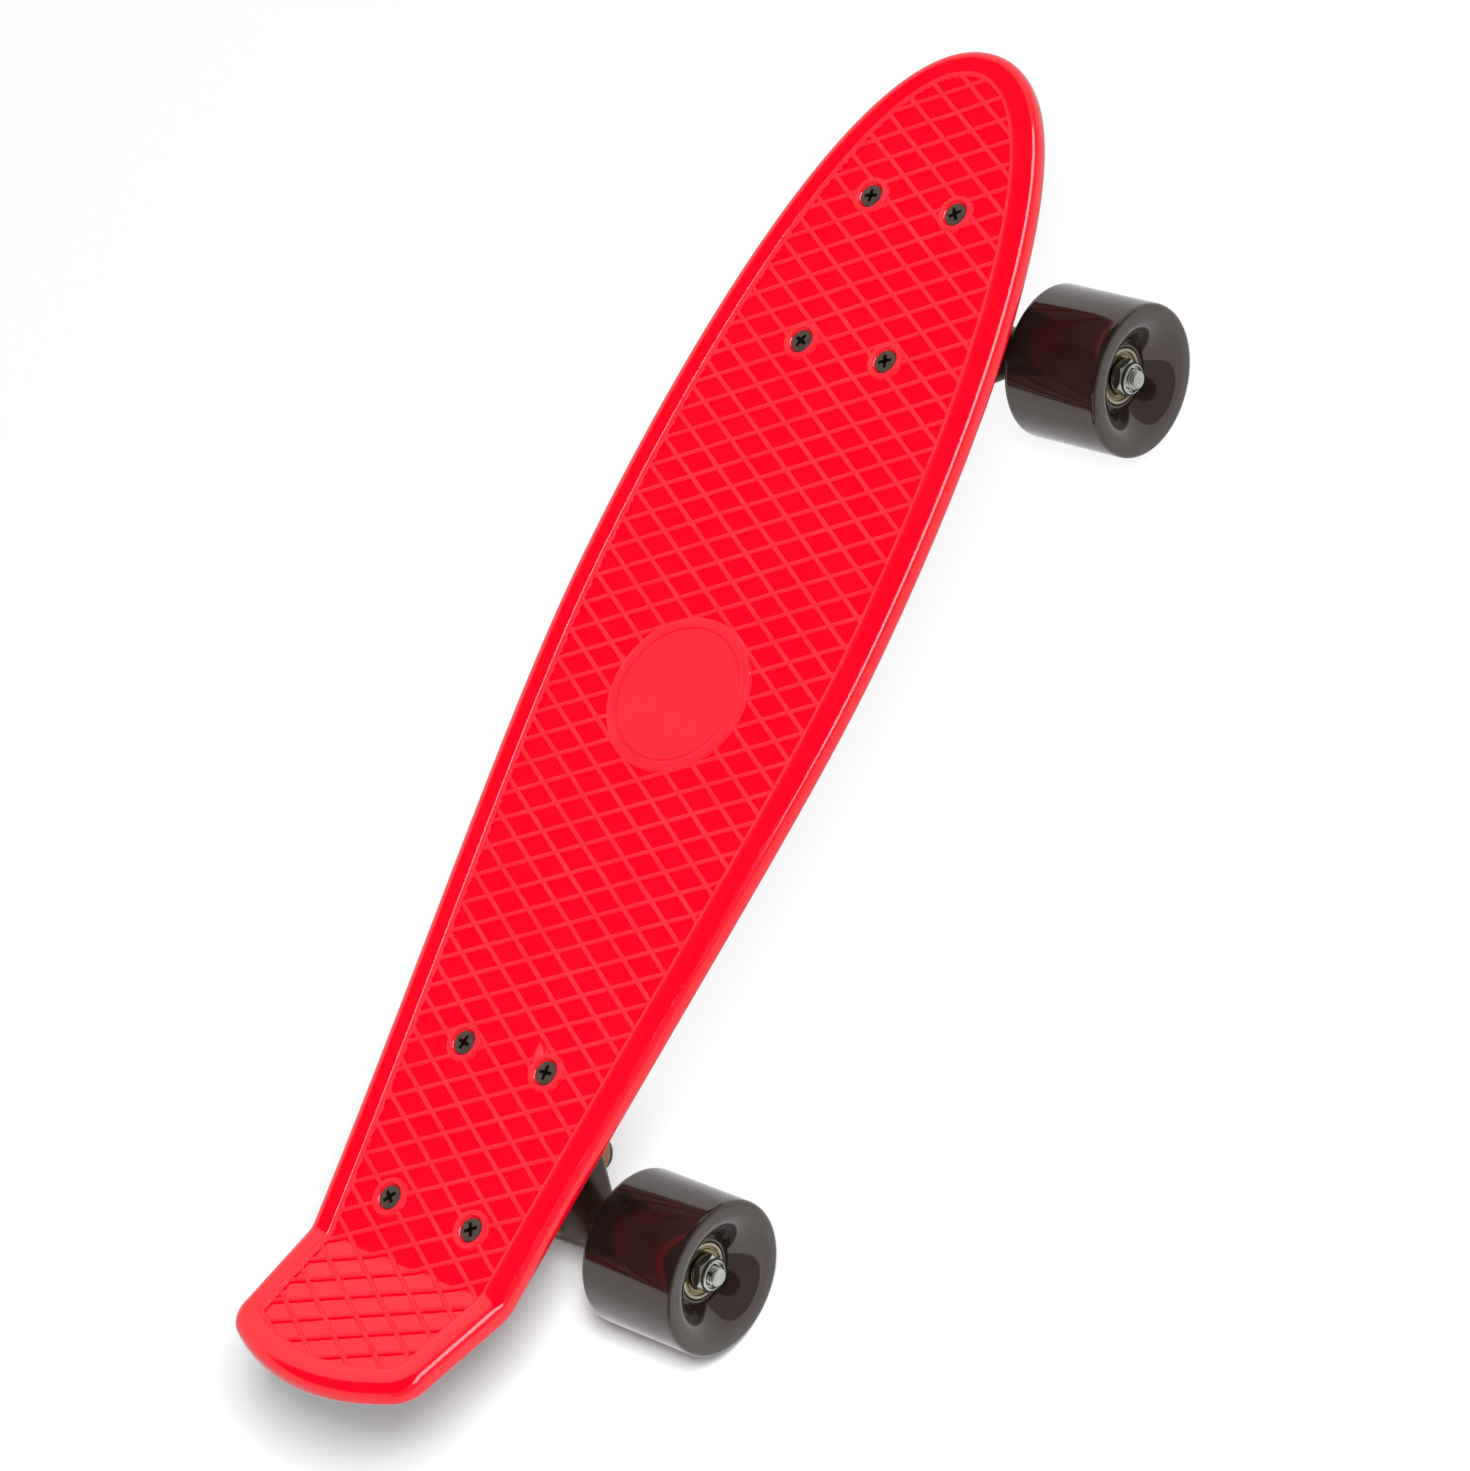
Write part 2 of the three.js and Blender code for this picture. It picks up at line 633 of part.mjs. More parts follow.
// A cup washer on the Z axis; its lip folds down round the bushing
function cupWasher() {
  const bore = clearRadius(kingpinRadius, trunkFacets);
  return turnedRing([
    [bore, 0],
    [washerRadius, 0],
    [washerRadius + washerLip, -washerThickness - washerLip],
    [washerRadius, -washerThickness - washerLip],
    [washerRadius - washerLip, -washerThickness],
    [bore, -washerThickness],
  ], trunkFacets);
}

// The flat washer under the kingpin's nut, on the Z axis from zero height down
function flatWasher() {
  const bore = clearRadius(kingpinRadius, trunkFacets);
  return turnedRing([
    [bore, 0],
    [roadWasherRadius, 0],
    [roadWasherRadius, -roadWasherThickness],
    [bore, -roadWasherThickness],
  ], trunkFacets);
}

// A barrel bushing on the Z axis from zero height down
function bushing(height, topRadius, bottomRadius) {
  const bore = clearRadius(kingpinRadius, trunkFacets);
  const edge = bushingBulge;
  return turnedRing([
    [bore, 0],
    [topRadius - edge, 0],
    [topRadius, -edge],
    [bottomRadius, -height + edge],
    [bottomRadius - edge, -height],
    [bore, -height],
  ], trunkFacets);
}

function hanger() {
  const cupRadius = boardBushingRadius + bushingBulge + seatGap;
  const ringTop = -ringAt + ringCupDepth;
  const ringBottom = -ringAt - ringThickness - ringCupDepth;
  const ring = onKingpin(rod(ringRadius, ringBottom, ringTop, trunkFacets));
  const housing = onAxle(turned([
    [0, -hangerEndY - speedWasherThickness],
    [speedWasherRadius, -hangerEndY - speedWasherThickness],
    [speedWasherRadius, -hangerEndY],
    [housingEndRadius, -hangerEndY],
    [housingRadius, -shoulderX],
    [housingRadius, shoulderX],
    [housingEndRadius, hangerEndY],
    [speedWasherRadius, hangerEndY],
    [speedWasherRadius, hangerEndY + speedWasherThickness],
    [0, hangerEndY + speedWasherThickness],
  ], trunkFacets));
  const shoulder = [shoulderX, -shoulderX].flatMap((y) => circle(axleFrame, housingRadius, y, trunkFacets));
  const ringRims = [ringTop, ringBottom].flatMap((height) => (
    circle(kingpinFrame, ringRadius, height, trunkFacets)
  ));
  const arm = [
    ...[armHalfWidth, -armHalfWidth].flatMap((y) => circle(axleFrame, armRadius, y, smallFacets)),
    ...circle(steeringFrame, armRadius, pivotLength, smallFacets),
  ];
  const pivot = onSteering(turned([
    ...pivotTip(pivotRadius),
    [pivotRadius, pivotLength - pivotRadius],
    [armRadius, pivotLength + armRadius / 2],
    [0, pivotLength + armRadius / 2],
  ], roundFacets));
  const sweep = pivotLength + axleDrop;
  const web = cut(
    joined(solid(new ConvexGeometry([...shoulder, ...ringRims])), solid(new ConvexGeometry(arm))),
    onKingpin(rod(cupRadius + ringCupDepth, ringTop, sweep, trunkFacets)),
    onKingpin(rod(cupRadius + ringCupDepth, ringBottom - sweep, ringBottom, trunkFacets)),
  );
  return cut(
    joined(ring, housing, web, pivot),
    onKingpin(rod(cupRadius, -ringAt, ringTop + overrun, trunkFacets)),
    onKingpin(rod(cupRadius, ringBottom - overrun, -ringAt - ringThickness, trunkFacets)),
    onKingpin(rod(ringHoleRadius, ringBottom - overrun, ringTop + overrun, roundFacets)),
    onAxle(rod(clearRadius(axleRadius, roundFacets), -axleLength, axleLength, roundFacets)),
  );
}

function axle() {
  return turned([
    [0, -axleLength / 2],
    [axleRadius - axleChamfer, -axleLength / 2],
    [axleRadius, -axleLength / 2 + axleChamfer],
    [axleRadius, axleLength / 2 - axleChamfer],
    [axleRadius - axleChamfer, axleLength / 2],
    [0, axleLength / 2],
  ], roundFacets).rotateX(-Math.PI / 2);
}

// Wheel, in a frame with its origin at the hanger's end face and Y away from the board

const innerBearingY = speedWasherThickness + seatGap;
const outerBearingY = innerBearingY + bearingWidth + bearingSpacing;
const wheelInnerY = innerBearingY - innerRecess;
const axleNutY = outerBearingY + bearingWidth + seatGap;

// The wheel's facets touch its true circle, so it stands on the ground
function wheel() {
  const reach = wheelRadius / Math.cos(Math.PI / wheelFacets);
  const outerY = wheelInnerY + wheelWidth;
  const outerSeatY = outerBearingY + bearingWidth;
  const outerStopY = outerBearingY - seatGap;
  const innerStopY = innerBearingY + bearingWidth + seatGap;
  const seatRadius = clearRadius(bearingRadius, wheelFacets);
  const shoulder = wheelShoulderRadius;
  const bevel = shoulder * (1 - Math.SQRT1_2);
  return turnedRing([
    [reach, wheelInnerY + shoulder],
    [reach, outerY - shoulder],
    [reach - bevel, outerY - bevel],
    [wheelLipRadius, outerY],
    [bowlRadius, outerY - bowlSetback],
    [hubRadius, outerSeatY + bowlSetback],
    [seatRadius, outerSeatY],
    [seatRadius, outerStopY],
    [wheelBoreRadius, outerStopY],
    [wheelBoreRadius, innerStopY],
    [seatRadius, innerStopY],
    [seatRadius, innerBearingY],
    [bowlRadius, wheelInnerY],
    [reach - shoulder, wheelInnerY],
    [reach - bevel, wheelInnerY + bevel],
  ], wheelFacets, Math.PI / wheelFacets).rotateX(-Math.PI / 2);
}

// A shielded ball bearing on the Y axis from zero out; the shield shows on its far face
function bearing() {
  const bore = clearRadius(axleRadius, roundFacets);
  return turnedRing([
    [bore, 0],
    [bearingRadius, 0],
    [bearingRadius, bearingWidth],
    [shieldOuterRadius, bearingWidth],
    [shieldOuterRadius, bearingWidth - shieldSink],
    [bore, bearingWidth - shieldSink],
  ], roundFacets).rotateX(-Math.PI / 2);
}

function bearingSpacer() {
  const bore = clearRadius(axleRadius, smallFacets);
  return turnedRing([
    [bore, 0],
    [spacerRadius, 0],
    [spacerRadius, bearingSpacing - 2 * seatGap],
    [bore, bearingSpacing - 2 * seatGap],
  ], smallFacets).rotateX(-Math.PI / 2);
}

// The lock nut and the speed washer under it
function axleNut() {
  const height = speedWasherThickness + axleNutHeight;
  const collarRadius = (axleNutAcross / 2) * collarShare;
  const body = joined(
    solid(rod(speedWasherRadius, 0, speedWasherThickness, smallFacets)),
    solid(hexagon(axleNutAcross, speedWasherThickness / 2, height - axleNutCollarHeight)),
    solid(rod(collarRadius, height / 2, height, smallFacets)),
  );
  const bore = clearRadius(axleRadius, smallFacets);
  return cut(body, solid(rod(bore, -overrun, height + overrun, smallFacets)));
}

// Assembly

const skateboard = new THREE.Group();

function addPiece(parent, name, body, look, place = [0, 0, 0]) {
  const geometry = geometryOf(body instanceof THREE.BufferGeometry ? solid(body) : body);
  const piece = new THREE.Mesh(geometry, new THREE.MeshStandardMaterial(materials[look]));
  piece.name = name;
  piece.position.set(...place);
  parent.add(piece);
}

addPiece(skateboard, 'deck', deck(), 'deck', [0, 0, deckTop]);

const bolt = solid(deckBolt());
const boltNut = lockNut(deckNutAcross, deckNutHeight, deckNutCollarHeight, boltRadius);
const boltNutZ = baseZ - plateThickness - seatGap;
for (const [end, middle] of Object.entries(patternX)) {
  for (const [x, y] of boltPlaces) {
    const place = `${end}_${y > 0 ? 'left' : 'right'}_${x * middle > 0 ? 'outer' : 'inner'}`;
    addPiece(skateboard, `deck_bolt_${place}`, bolt, 'blackSteel', [middle + x, y, deckTop - boltHeadSink]);
    const holder = new THREE.Group();
    holder.position.set(middle + x, y, boltNutZ);
    holder.rotation.x = Math.PI;
    skateboard.add(holder);
    addPiece(holder, `deck_nut_${place}`, boltNut, 'blackSteel');
  }
}

function addTruck(end) {
  const truck = new THREE.Group();
  truck.position.set(patternX[end], 0, baseZ);
  truck.rotation.z = end === 'front' ? Math.PI : 0;
  skateboard.add(truck);
  addPiece(truck, `${end}_baseplate`, baseplate(), 'blackPaint');
  addPiece(truck, `${end}_hanger`, hanger(), 'blackPaint');
  addPiece(truck, `${end}_axle`, axle(), 'zinc', axlePlace.toArray());

  const steering = new THREE.Group();
  steering.position.copy(pivotPoint);
  steering.rotation.y = Math.PI / 2 + steeringTilt;
  truck.add(steering);
  addPiece(steering, `${end}_pivot_cup`, pivotCup(), 'nylon');

  const stack = new THREE.Group();
  stack.position.x = kingpinFootX;
  stack.rotation.y = -kingpinTilt;
  truck.add(stack);
  const boardBushing = bushing(boardBushingHeight, boardBushingRadius - bushingBulge, boardBushingRadius);
  const roadBushing = bushing(roadBushingHeight, boardBushingRadius, roadBushingTipRadius);
  const nut = lockNut(kingpinHeadAcross, kingpinNutHeight, kingpinNutCollarHeight, kingpinRadius);
  addPiece(stack, `${end}_kingpin`, kingpin(), 'blackSteel');
  addPiece(stack, `${end}_board_side_washer`, cupWasher(), 'blackSteel', [0, 0, -boardWasherAt]);
  addPiece(stack, `${end}_board_side_bushing`, boardBushing, 'amber', [0, 0, -boardBushingAt]);
  addPiece(stack, `${end}_road_side_bushing`, roadBushing, 'amber', [0, 0, -roadBushingAt]);
  addPiece(stack, `${end}_road_side_washer`, flatWasher(), 'blackSteel', [0, 0, -roadWasherAt]);
  const nutHolder = new THREE.Group();
  nutHolder.position.z = -kingpinNutAt;
  nutHolder.rotation.x = Math.PI;
  stack.add(nutHolder);
  addPiece(nutHolder, `${end}_kingpin_nut`, nut, 'blackSteel');
}

function addWheel(end, side) {
  const outward = side === 'left' ? 1 : -1;
  const axleX = patternX[end] + (end === 'front' ? axleOffset : -axleOffset);
  const holder = new THREE.Group();
  holder.position.set(axleX, outward * hangerEndY, wheelRadius);
  holder.rotation.z = outward > 0 ? 0 : Math.PI;
  skateboard.add(holder);
  const name = `${end}_${side}`;
  addPiece(holder, `${name}_wheel`, wheel(), 'urethane');
  addPiece(holder, `${name}_outer_bearing`, bearing(), 'bearingSteel', [0, outerBearingY, 0]);
  const flipped = bearing().rotateZ(Math.PI);
  addPiece(holder, `${name}_inner_bearing`, flipped, 'bearingSteel', [0, innerBearingY + bearingWidth, 0]);
  const spacerY = innerBearingY + bearingWidth + seatGap;
  addPiece(holder, `${name}_bearing_spacer`, bearingSpacer(), 'zinc', [0, spacerY, 0]);
  const nutGeometry = geometryOf(axleNut()).rotateX(-Math.PI / 2);
  addPiece(holder, `${name}_axle_nut`, nutGeometry, 'zinc', [0, axleNutY, 0]);
}

for (const end of ['front', 'rear']) {
  addTruck(end);
  addWheel(end, 'left');
  addWheel(end, 'right');
}

export default skateboard;
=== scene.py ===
import math

import bmesh
import bpy
import numpy as np
from mathutils import Matrix, Vector
from mathutils.geometry import delaunay_2d_cdt


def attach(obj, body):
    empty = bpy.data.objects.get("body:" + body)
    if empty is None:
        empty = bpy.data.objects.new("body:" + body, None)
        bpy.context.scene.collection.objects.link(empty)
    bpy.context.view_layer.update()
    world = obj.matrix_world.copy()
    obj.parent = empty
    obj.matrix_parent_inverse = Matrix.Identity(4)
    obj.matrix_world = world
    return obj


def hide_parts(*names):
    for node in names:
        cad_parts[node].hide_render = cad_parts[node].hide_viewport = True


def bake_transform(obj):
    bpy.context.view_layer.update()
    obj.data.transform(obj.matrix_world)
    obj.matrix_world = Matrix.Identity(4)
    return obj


# A moulded plastic cruiser skateboard. Sizes are in millimetres and are scaled by MM when a mesh is made.

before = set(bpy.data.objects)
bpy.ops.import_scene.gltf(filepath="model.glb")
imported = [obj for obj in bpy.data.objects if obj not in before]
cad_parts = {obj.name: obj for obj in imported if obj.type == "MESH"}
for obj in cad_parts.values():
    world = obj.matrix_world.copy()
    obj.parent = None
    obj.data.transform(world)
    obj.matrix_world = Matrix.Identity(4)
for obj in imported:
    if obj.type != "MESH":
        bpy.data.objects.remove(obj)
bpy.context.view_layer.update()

MM = 0.001

# Deck outline, seen from above, with the tail laid flat
DECK_LENGTH = 563.6
DECK_WIDTH = 148.8
WIDEST_X = 44.3
NOSE_BLUNTNESS = 55.5
NOSE_FULLNESS = 111
SIDE_FULLNESS = 62.8
WAIST_WIDTH = 99.4
WAIST_RUN = 112.9
WAIST_SPREAD = 9.4
WAIST_STEP = 0.3
TAIL_LENGTH = 61.6
TAIL_WIDTH = 92.4
TAIL_CORNER_RADIUS = 14
TAIL_END_RADIUS = 82
KICK = math.radians(29)
FOLD_RADIUS = 7
# Steps of its curves, and the spacing of its points on the long runs, at the fold and at the corners
CURVE_STEPS = 200
ARC_STEPS = 40
SPACING = 4
FOLD_SPACING = 1.2
CORNER_SPACING = 1.6

# Deck section, as heights above the rim's top
EDGE_DEPTH = 8.8
EDGE_TOP_RADIUS = 4.5
EDGE_BOTTOM_RADIUS = 2.4
SKIRT_THICKNESS = 5
SHEET_DEPTH = 5.2
RIM_WIDTH = 10.3
BORDER_RIB_WIDTH = 1.3
RIB_TOP = -0.6
BORDER_RIB_TOP = -0.5
CELL_FLOOR = -1.7
STIFFENER_WIDTH = 2.4
STIFFENERS = (-30, 0, 30)
PAD_LENGTH = 88
PAD_WIDTH = 63
PAD_DEPTH = 12
PAD_CORNER_RADIUS = 9
DRAFT = 0.35
SOFT_EDGE = 0.3

# Waffle, centre disc and bolt bosses
CELL_PITCH = 11.8
RIB_ANGLE = math.radians(60)
RIB_FOOT = 0.95
DISC_X = 6.8
DISC_RADIUS = 31
DISC_RIM_WIDTH = 4
DISC_SINK = 0.3
BOSS_RADIUS = 7.4
BOLT_BORE_RADIUS = 5.25
BOLT_HOLE_RADIUS = 2.8
NOSE_OVERHANG = 98.6
TAIL_OVERHANG = 108.2
PATTERN_X = {"front": DECK_LENGTH / 2 - NOSE_OVERHANG, "rear": TAIL_OVERHANG - DECK_LENGTH / 2}
BOLT_SPACING = (62.8, 41.3)

WHEEL_RADIUS = 29.8
AXLE_DROP = 55.5
DECK_TOP = WHEEL_RADIUS + AXLE_DROP + PAD_DEPTH
EDGE_TOP_CENTRE = (EDGE_TOP_RADIUS, -EDGE_TOP_RADIUS)
FOLD_X = TAIL_LENGTH * math.cos(KICK) + EDGE_TOP_RADIUS * math.sin(KICK) - DECK_LENGTH / 2
FOLD_REACH = FOLD_RADIUS * math.tan(KICK / 2)
BOLT_CORNERS = [
    (along * BOLT_SPACING[0] / 2, across * BOLT_SPACING[1] / 2) for along in (1, -1) for across in (1, -1)
]
BOLT_PLACES = [(middle + x, y) for middle in PATTERN_X.values() for x, y in BOLT_CORNERS]
BOLT_HOLES = [(place, BOLT_HOLE_RADIUS) for place in BOLT_PLACES]


# Meshes

MERGE_DISTANCE = 0.002
SLIVER = 0.001
SHARP_ANGLE = 35
DECK_SHARP_ANGLE = 30
CAST_SHARP_ANGLE = 32


def mesh_object(name, points, faces, look, sharp=SHARP_ANGLE, other=None):
    """A mesh from points in millimetres, with edges sharper than the given angle left sharp.

    The other look comes with one flag for each face that wears it.
    """
    mesh = bpy.data.meshes.new(name)
    mesh.from_pydata([tuple(c * MM for c in p) for p in points], [], faces)
    mesh.materials.append(look)
    if other:
        mesh.materials.append(other[0])
        mesh.polygons.foreach_set("material_index", [int(flag) for flag in other[1]])
    work = bmesh.new()
    work.from_mesh(mesh)
    bmesh.ops.remove_doubles(work, verts=work.verts, dist=MERGE_DISTANCE * MM)
    bmesh.ops.dissolve_degenerate(work, edges=work.edges, dist=SLIVER * MM)
    bmesh.ops.recalc_face_normals(work, faces=work.faces)
    work.to_mesh(mesh)
    work.free()
    shade(mesh, sharp)
    return link_object(name, mesh)


def link_object(name, data):
    piece = bpy.data.objects.new(name, data)
    bpy.context.scene.collection.objects.link(piece)
    return piece


def shade(mesh, sharp):
    mesh.shade_smooth()
    mesh.set_sharp_from_angle(angle=math.radians(sharp))


def arc(centre, radius, start, end, steps):
    """Points on a circle from one angle to another, in degrees, both included."""
    angles = np.radians(np.linspace(start, end, steps + 1))
    return [(centre[0] + radius * math.cos(a), centre[1] + radius * math.sin(a)) for a in angles]


# Deck outline

def bezier(controls, steps):
    a, b, c, d = (np.array(p, float) for p in controls)
    ts = np.linspace(0, 1, steps + 1)[:, None]
    return (1 - ts) ** 3 * a + 3 * (1 - ts) ** 2 * ts * b + 3 * (1 - ts) * ts ** 2 * c + ts ** 3 * d


def evenly(points, spacing):
    """The same line with points at about the given spacing; its ends stay."""
    lengths = np.linalg.norm(np.diff(points, axis=0), axis=1)
    along = np.concatenate([[0], np.cumsum(lengths)])
    count = max(1, round(along[-1] / spacing))
    wanted = np.linspace(0, along[-1], count + 1)
    return np.stack([np.interp(wanted, along, points[:, i]) for i in (0, 1)], 1)


def deck_outline():
    """The whole outline, anticlockwise from the nose, with the tail laid flat."""
    nose_x = DECK_LENGTH / 2
    half_width = DECK_WIDTH / 2
    half_waist = WAIST_WIDTH / 2
    nose = bezier([
        (nose_x, 0), (nose_x, NOSE_BLUNTNESS), (WIDEST_X + NOSE_FULLNESS, half_width),
        (WIDEST_X, half_width),
    ], CURVE_STEPS)
    side = bezier([
        (WIDEST_X, half_width), (WIDEST_X - SIDE_FULLNESS, half_width),
        (FOLD_X + WAIST_RUN, half_waist + WAIST_SPREAD), (FOLD_X, half_waist),
    ], CURVE_STEPS)
    corner_y = TAIL_WIDTH / 2 - TAIL_CORNER_RADIUS
    end_x = FOLD_X - TAIL_LENGTH + TAIL_END_RADIUS
    corner_x = end_x - math.sqrt((TAIL_END_RADIUS - TAIL_CORNER_RADIUS) ** 2 - corner_y ** 2)
    turn = math.degrees(math.atan2(corner_y, corner_x - end_x))
    corner = arc((corner_x, corner_y), TAIL_CORNER_RADIUS, 90, turn, ARC_STEPS)
    end = arc((end_x, 0), TAIL_END_RADIUS, turn, 180, ARC_STEPS)
    body = side[side[:, 0] > FOLD_X + 2 * FOLD_REACH]
    past_fold = (FOLD_X - 2 * FOLD_REACH, half_waist - WAIST_STEP)
    near = np.vstack([side[side[:, 0] <= FOLD_X + 2 * FOLD_REACH], [past_fold]])
    left = np.vstack([
        evenly(np.vstack([nose, body[1:]]), SPACING),
        evenly(near, FOLD_SPACING),
        evenly(np.array([near[-1], corner[0]]), SPACING)[1:],
        evenly(np.array(corner), CORNER_SPACING)[1:],
        evenly(np.array(end), SPACING)[1:],
    ])
    right = left[1:-1][::-1] * (1, -1)
    return np.vstack([left, right])


def inset(outline, distance):
    arriving = outline - np.roll(outline, 1, axis=0)
    leaving = np.roll(outline, -1, axis=0) - outline
    arriving /= np.linalg.norm(arriving, axis=1)[:, None]
    leaving /= np.linalg.norm(leaving, axis=1)[:, None]
    inward = np.stack([-arriving[:, 1] - leaving[:, 1], arriving[:, 0] + leaving[:, 0]], 1)
    inward /= np.linalg.norm(inward, axis=1)[:, None]
    reach = distance / np.sum(inward * np.stack([-arriving[:, 1], arriving[:, 0]], 1), axis=1)
    return outline + inward * reach[:, None]


def bent(points):
    """Takes flat points (along, across, height above the rim's top) to the deck with its tail turned up."""
    along, across, height = np.array(points, float).T
    past = FOLD_X - along
    angle = np.clip((past + FOLD_REACH) / (2 * FOLD_REACH), 0, 1) * KICK
    straight = np.where(past < 0, np.minimum(past, -FOLD_REACH), np.maximum(past, FOLD_REACH))
    flat = past <= -FOLD_REACH
    risen = past >= FOLD_REACH
    x = FOLD_X + FOLD_REACH - FOLD_RADIUS * np.sin(angle)
    z = FOLD_RADIUS * (1 - np.cos(angle))
    x = np.where(flat, along, np.where(risen, FOLD_X - straight * math.cos(KICK), x))
    z = np.where(flat, 0, np.where(risen, straight * math.sin(KICK), z))
    x = x + height * np.sin(angle)
    z = z + height * np.cos(angle)
    return np.stack([x, across, z + DECK_TOP], 1)


# Deck surfaces: each is a flat net of lines, lifted by a height for each of its points

class Net:
    """Lines on the flat deck, from which one triangulated surface is made."""

    def __init__(self, boundary):
        self.boundary = boundary
        self.points = []
        self.edges = []
        self.loop(boundary)

    def line(self, points):
        first = len(self.points)
        self.points += [tuple(p) for p in points]
        self.edges += [(first + i, first + i + 1) for i in range(len(points) - 1)]

    def loop(self, points):
        first = len(self.points)
        self.line(points)
        self.edges.append((len(self.points) - 1, first))

    def clipped(self, start, end, outline, circles=()):
        """The stretches of a straight line that lie inside an outline and outside circles."""
        start, end = np.array(start, float), np.array(end, float)
        run = end - start
        length = np.linalg.norm(run)
        side = np.roll(outline, -1, axis=0) - outline
        gap = outline - start
        cross = run[0] * side[:, 1] - run[1] * side[:, 0]
        cross[np.abs(cross) < 1e-9] = np.inf
        along = (gap[:, 0] * side[:, 1] - gap[:, 1] * side[:, 0]) / cross
        across = (gap[:, 0] * run[1] - gap[:, 1] * run[0]) / cross
        ends = [0.0, 1.0] + along[(across >= 0) & (across < 1) & (along > 0) & (along < 1)].tolist()
        for centre, radius in circles:
            middle = np.dot(np.array(centre) - start, run) / length ** 2
            off = np.linalg.norm(start + run * middle - centre)
            if off < radius:
                half = math.sqrt(radius ** 2 - off ** 2) / length
                ends += [t for t in (middle - half, middle + half) if 0 < t < 1]
        ends.sort()
        for low, high in zip(ends, ends[1:]):
            middle = start + run * (low + high) / 2
            clear = all(np.linalg.norm(middle - c) > r for c, r in circles)
            if high - low > 1e-6 and clear and inside(outline, middle[None])[0]:
                self.line([start + run * low, start + run * high])

    def surface(self, height, holes):
        """Points and triangles of the net, lifted; the triangles in a hole are left out."""
        coords = [Vector(p) for p in self.points]
        ring = list(range(len(self.boundary)))
        flat, _, triangles, *_ = delaunay_2d_cdt(coords, self.edges, [ring], 1, 1e-5, False)
        flat = np.array([tuple(p) for p in flat])
        triangles = np.array([t for t in triangles if len(t) == 3])
        middles = flat[triangles].mean(axis=1)
        keep = inside(self.boundary, middles)
        for centre, radius in holes:
            keep &= np.linalg.norm(middles - centre, axis=1) > radius
        return np.column_stack([flat, height(flat)]), triangles[keep].tolist()


def inside(outline, points):
    ahead = np.roll(outline, -1, axis=0)
    result = []
    for block in np.array_split(points, len(points) // 4000 + 1):
        x, y = block[:, :1], block[:, 1:]
        spans = (outline[:, 1] > y) != (ahead[:, 1] > y)
        rise = np.where(spans, ahead[:, 1] - outline[:, 1], 1)
        crossing = outline[:, 0] + (y - outline[:, 1]) / rise * (ahead[:, 0] - outline[:, 0])
        result.append(np.sum(spans & (crossing > x), axis=1) % 2 == 1)
    return np.concatenate(result)


def depth_in(outline, points):
    """How far each point lies inside the outline."""
    nearest = np.full(len(points), np.inf)
    for a, b in zip(outline, np.roll(outline, -1, axis=0)):
        side = b - a
        share = np.clip(((points - a) @ side) / (side @ side), 0, 1)
        nearest = np.minimum(nearest, np.linalg.norm(points - a - share[:, None] * side, axis=1))
    return nearest


def circle(centre, radius, steps):
    angles = np.linspace(0, 2 * math.pi, steps, endpoint=False)
    return np.stack([centre[0] + radius * np.cos(angles), centre[1] + radius * np.sin(angles)], 1)


# Sections as (distance, height) pairs, which a surface follows between its lines
BORDER_SECTION = [
    (RIM_WIDTH, -0.25), (RIM_WIDTH + 0.25, -0.46),
    (RIM_WIDTH + BORDER_RIB_WIDTH - 0.35, BORDER_RIB_TOP - 0.06),
    (RIM_WIDTH + BORDER_RIB_WIDTH, -0.8), (RIM_WIDTH + BORDER_RIB_WIDTH + DRAFT, CELL_FLOOR),
]
RIB_SECTION = [(0, RIB_TOP), (0.4, -0.64), (0.72, -0.85), (0.88, -1.2), (RIB_FOOT, CELL_FLOOR)]
DISC_FIELD_RADIUS = DISC_RADIUS - DISC_RIM_WIDTH
DISC_SECTION = [
    (DISC_FIELD_RADIUS - 0.7, -DISC_SINK), (DISC_FIELD_RADIUS - 0.45, -0.8),
    (DISC_FIELD_RADIUS - 0.1, -0.8), (DISC_FIELD_RADIUS + 0.1, -0.1), (DISC_FIELD_RADIUS + 0.4, 0),
    (DISC_RADIUS - 0.5, 0), (DISC_RADIUS - 0.12, -0.2), (DISC_RADIUS + DRAFT, CELL_FLOOR),
]
BOSS_SECTION = [
    (BOLT_HOLE_RADIUS, -3.7), (BOLT_BORE_RADIUS, -1.2), (BOLT_BORE_RADIUS + 0.12, -0.28),
    (BOLT_BORE_RADIUS + 0.5, -0.02), (BOSS_RADIUS - 0.8, -0.02), (BOSS_RADIUS - 0.2, -0.3),
    (BOSS_RADIUS + DRAFT, CELL_FLOOR),
]
# Faces of the top above this height are rubbed by shoes, and are painted a little lighter as a sheen
WEAR_AND_SHEEN_DEPTH = -1.3
RIB_OFFSETS = sorted({sign * place for place, _ in RIB_SECTION for sign in (1, -1)})
CROSS_LINES = [FOLD_X + FOLD_REACH * step / 3 for step in range(-3, 4)]
BOSS_STEPS = 40
# The disc and the bolt bosses: centre, section, radius and steps
ISLANDS = [((DISC_X, 0), DISC_SECTION, DISC_RADIUS, 96)]
ISLANDS += [(place, BOSS_SECTION, BOSS_RADIUS, BOSS_STEPS) for place in BOLT_PLACES]


def follow(section, distance):
    places, heights = zip(*section)
    return np.interp(distance, places, heights)


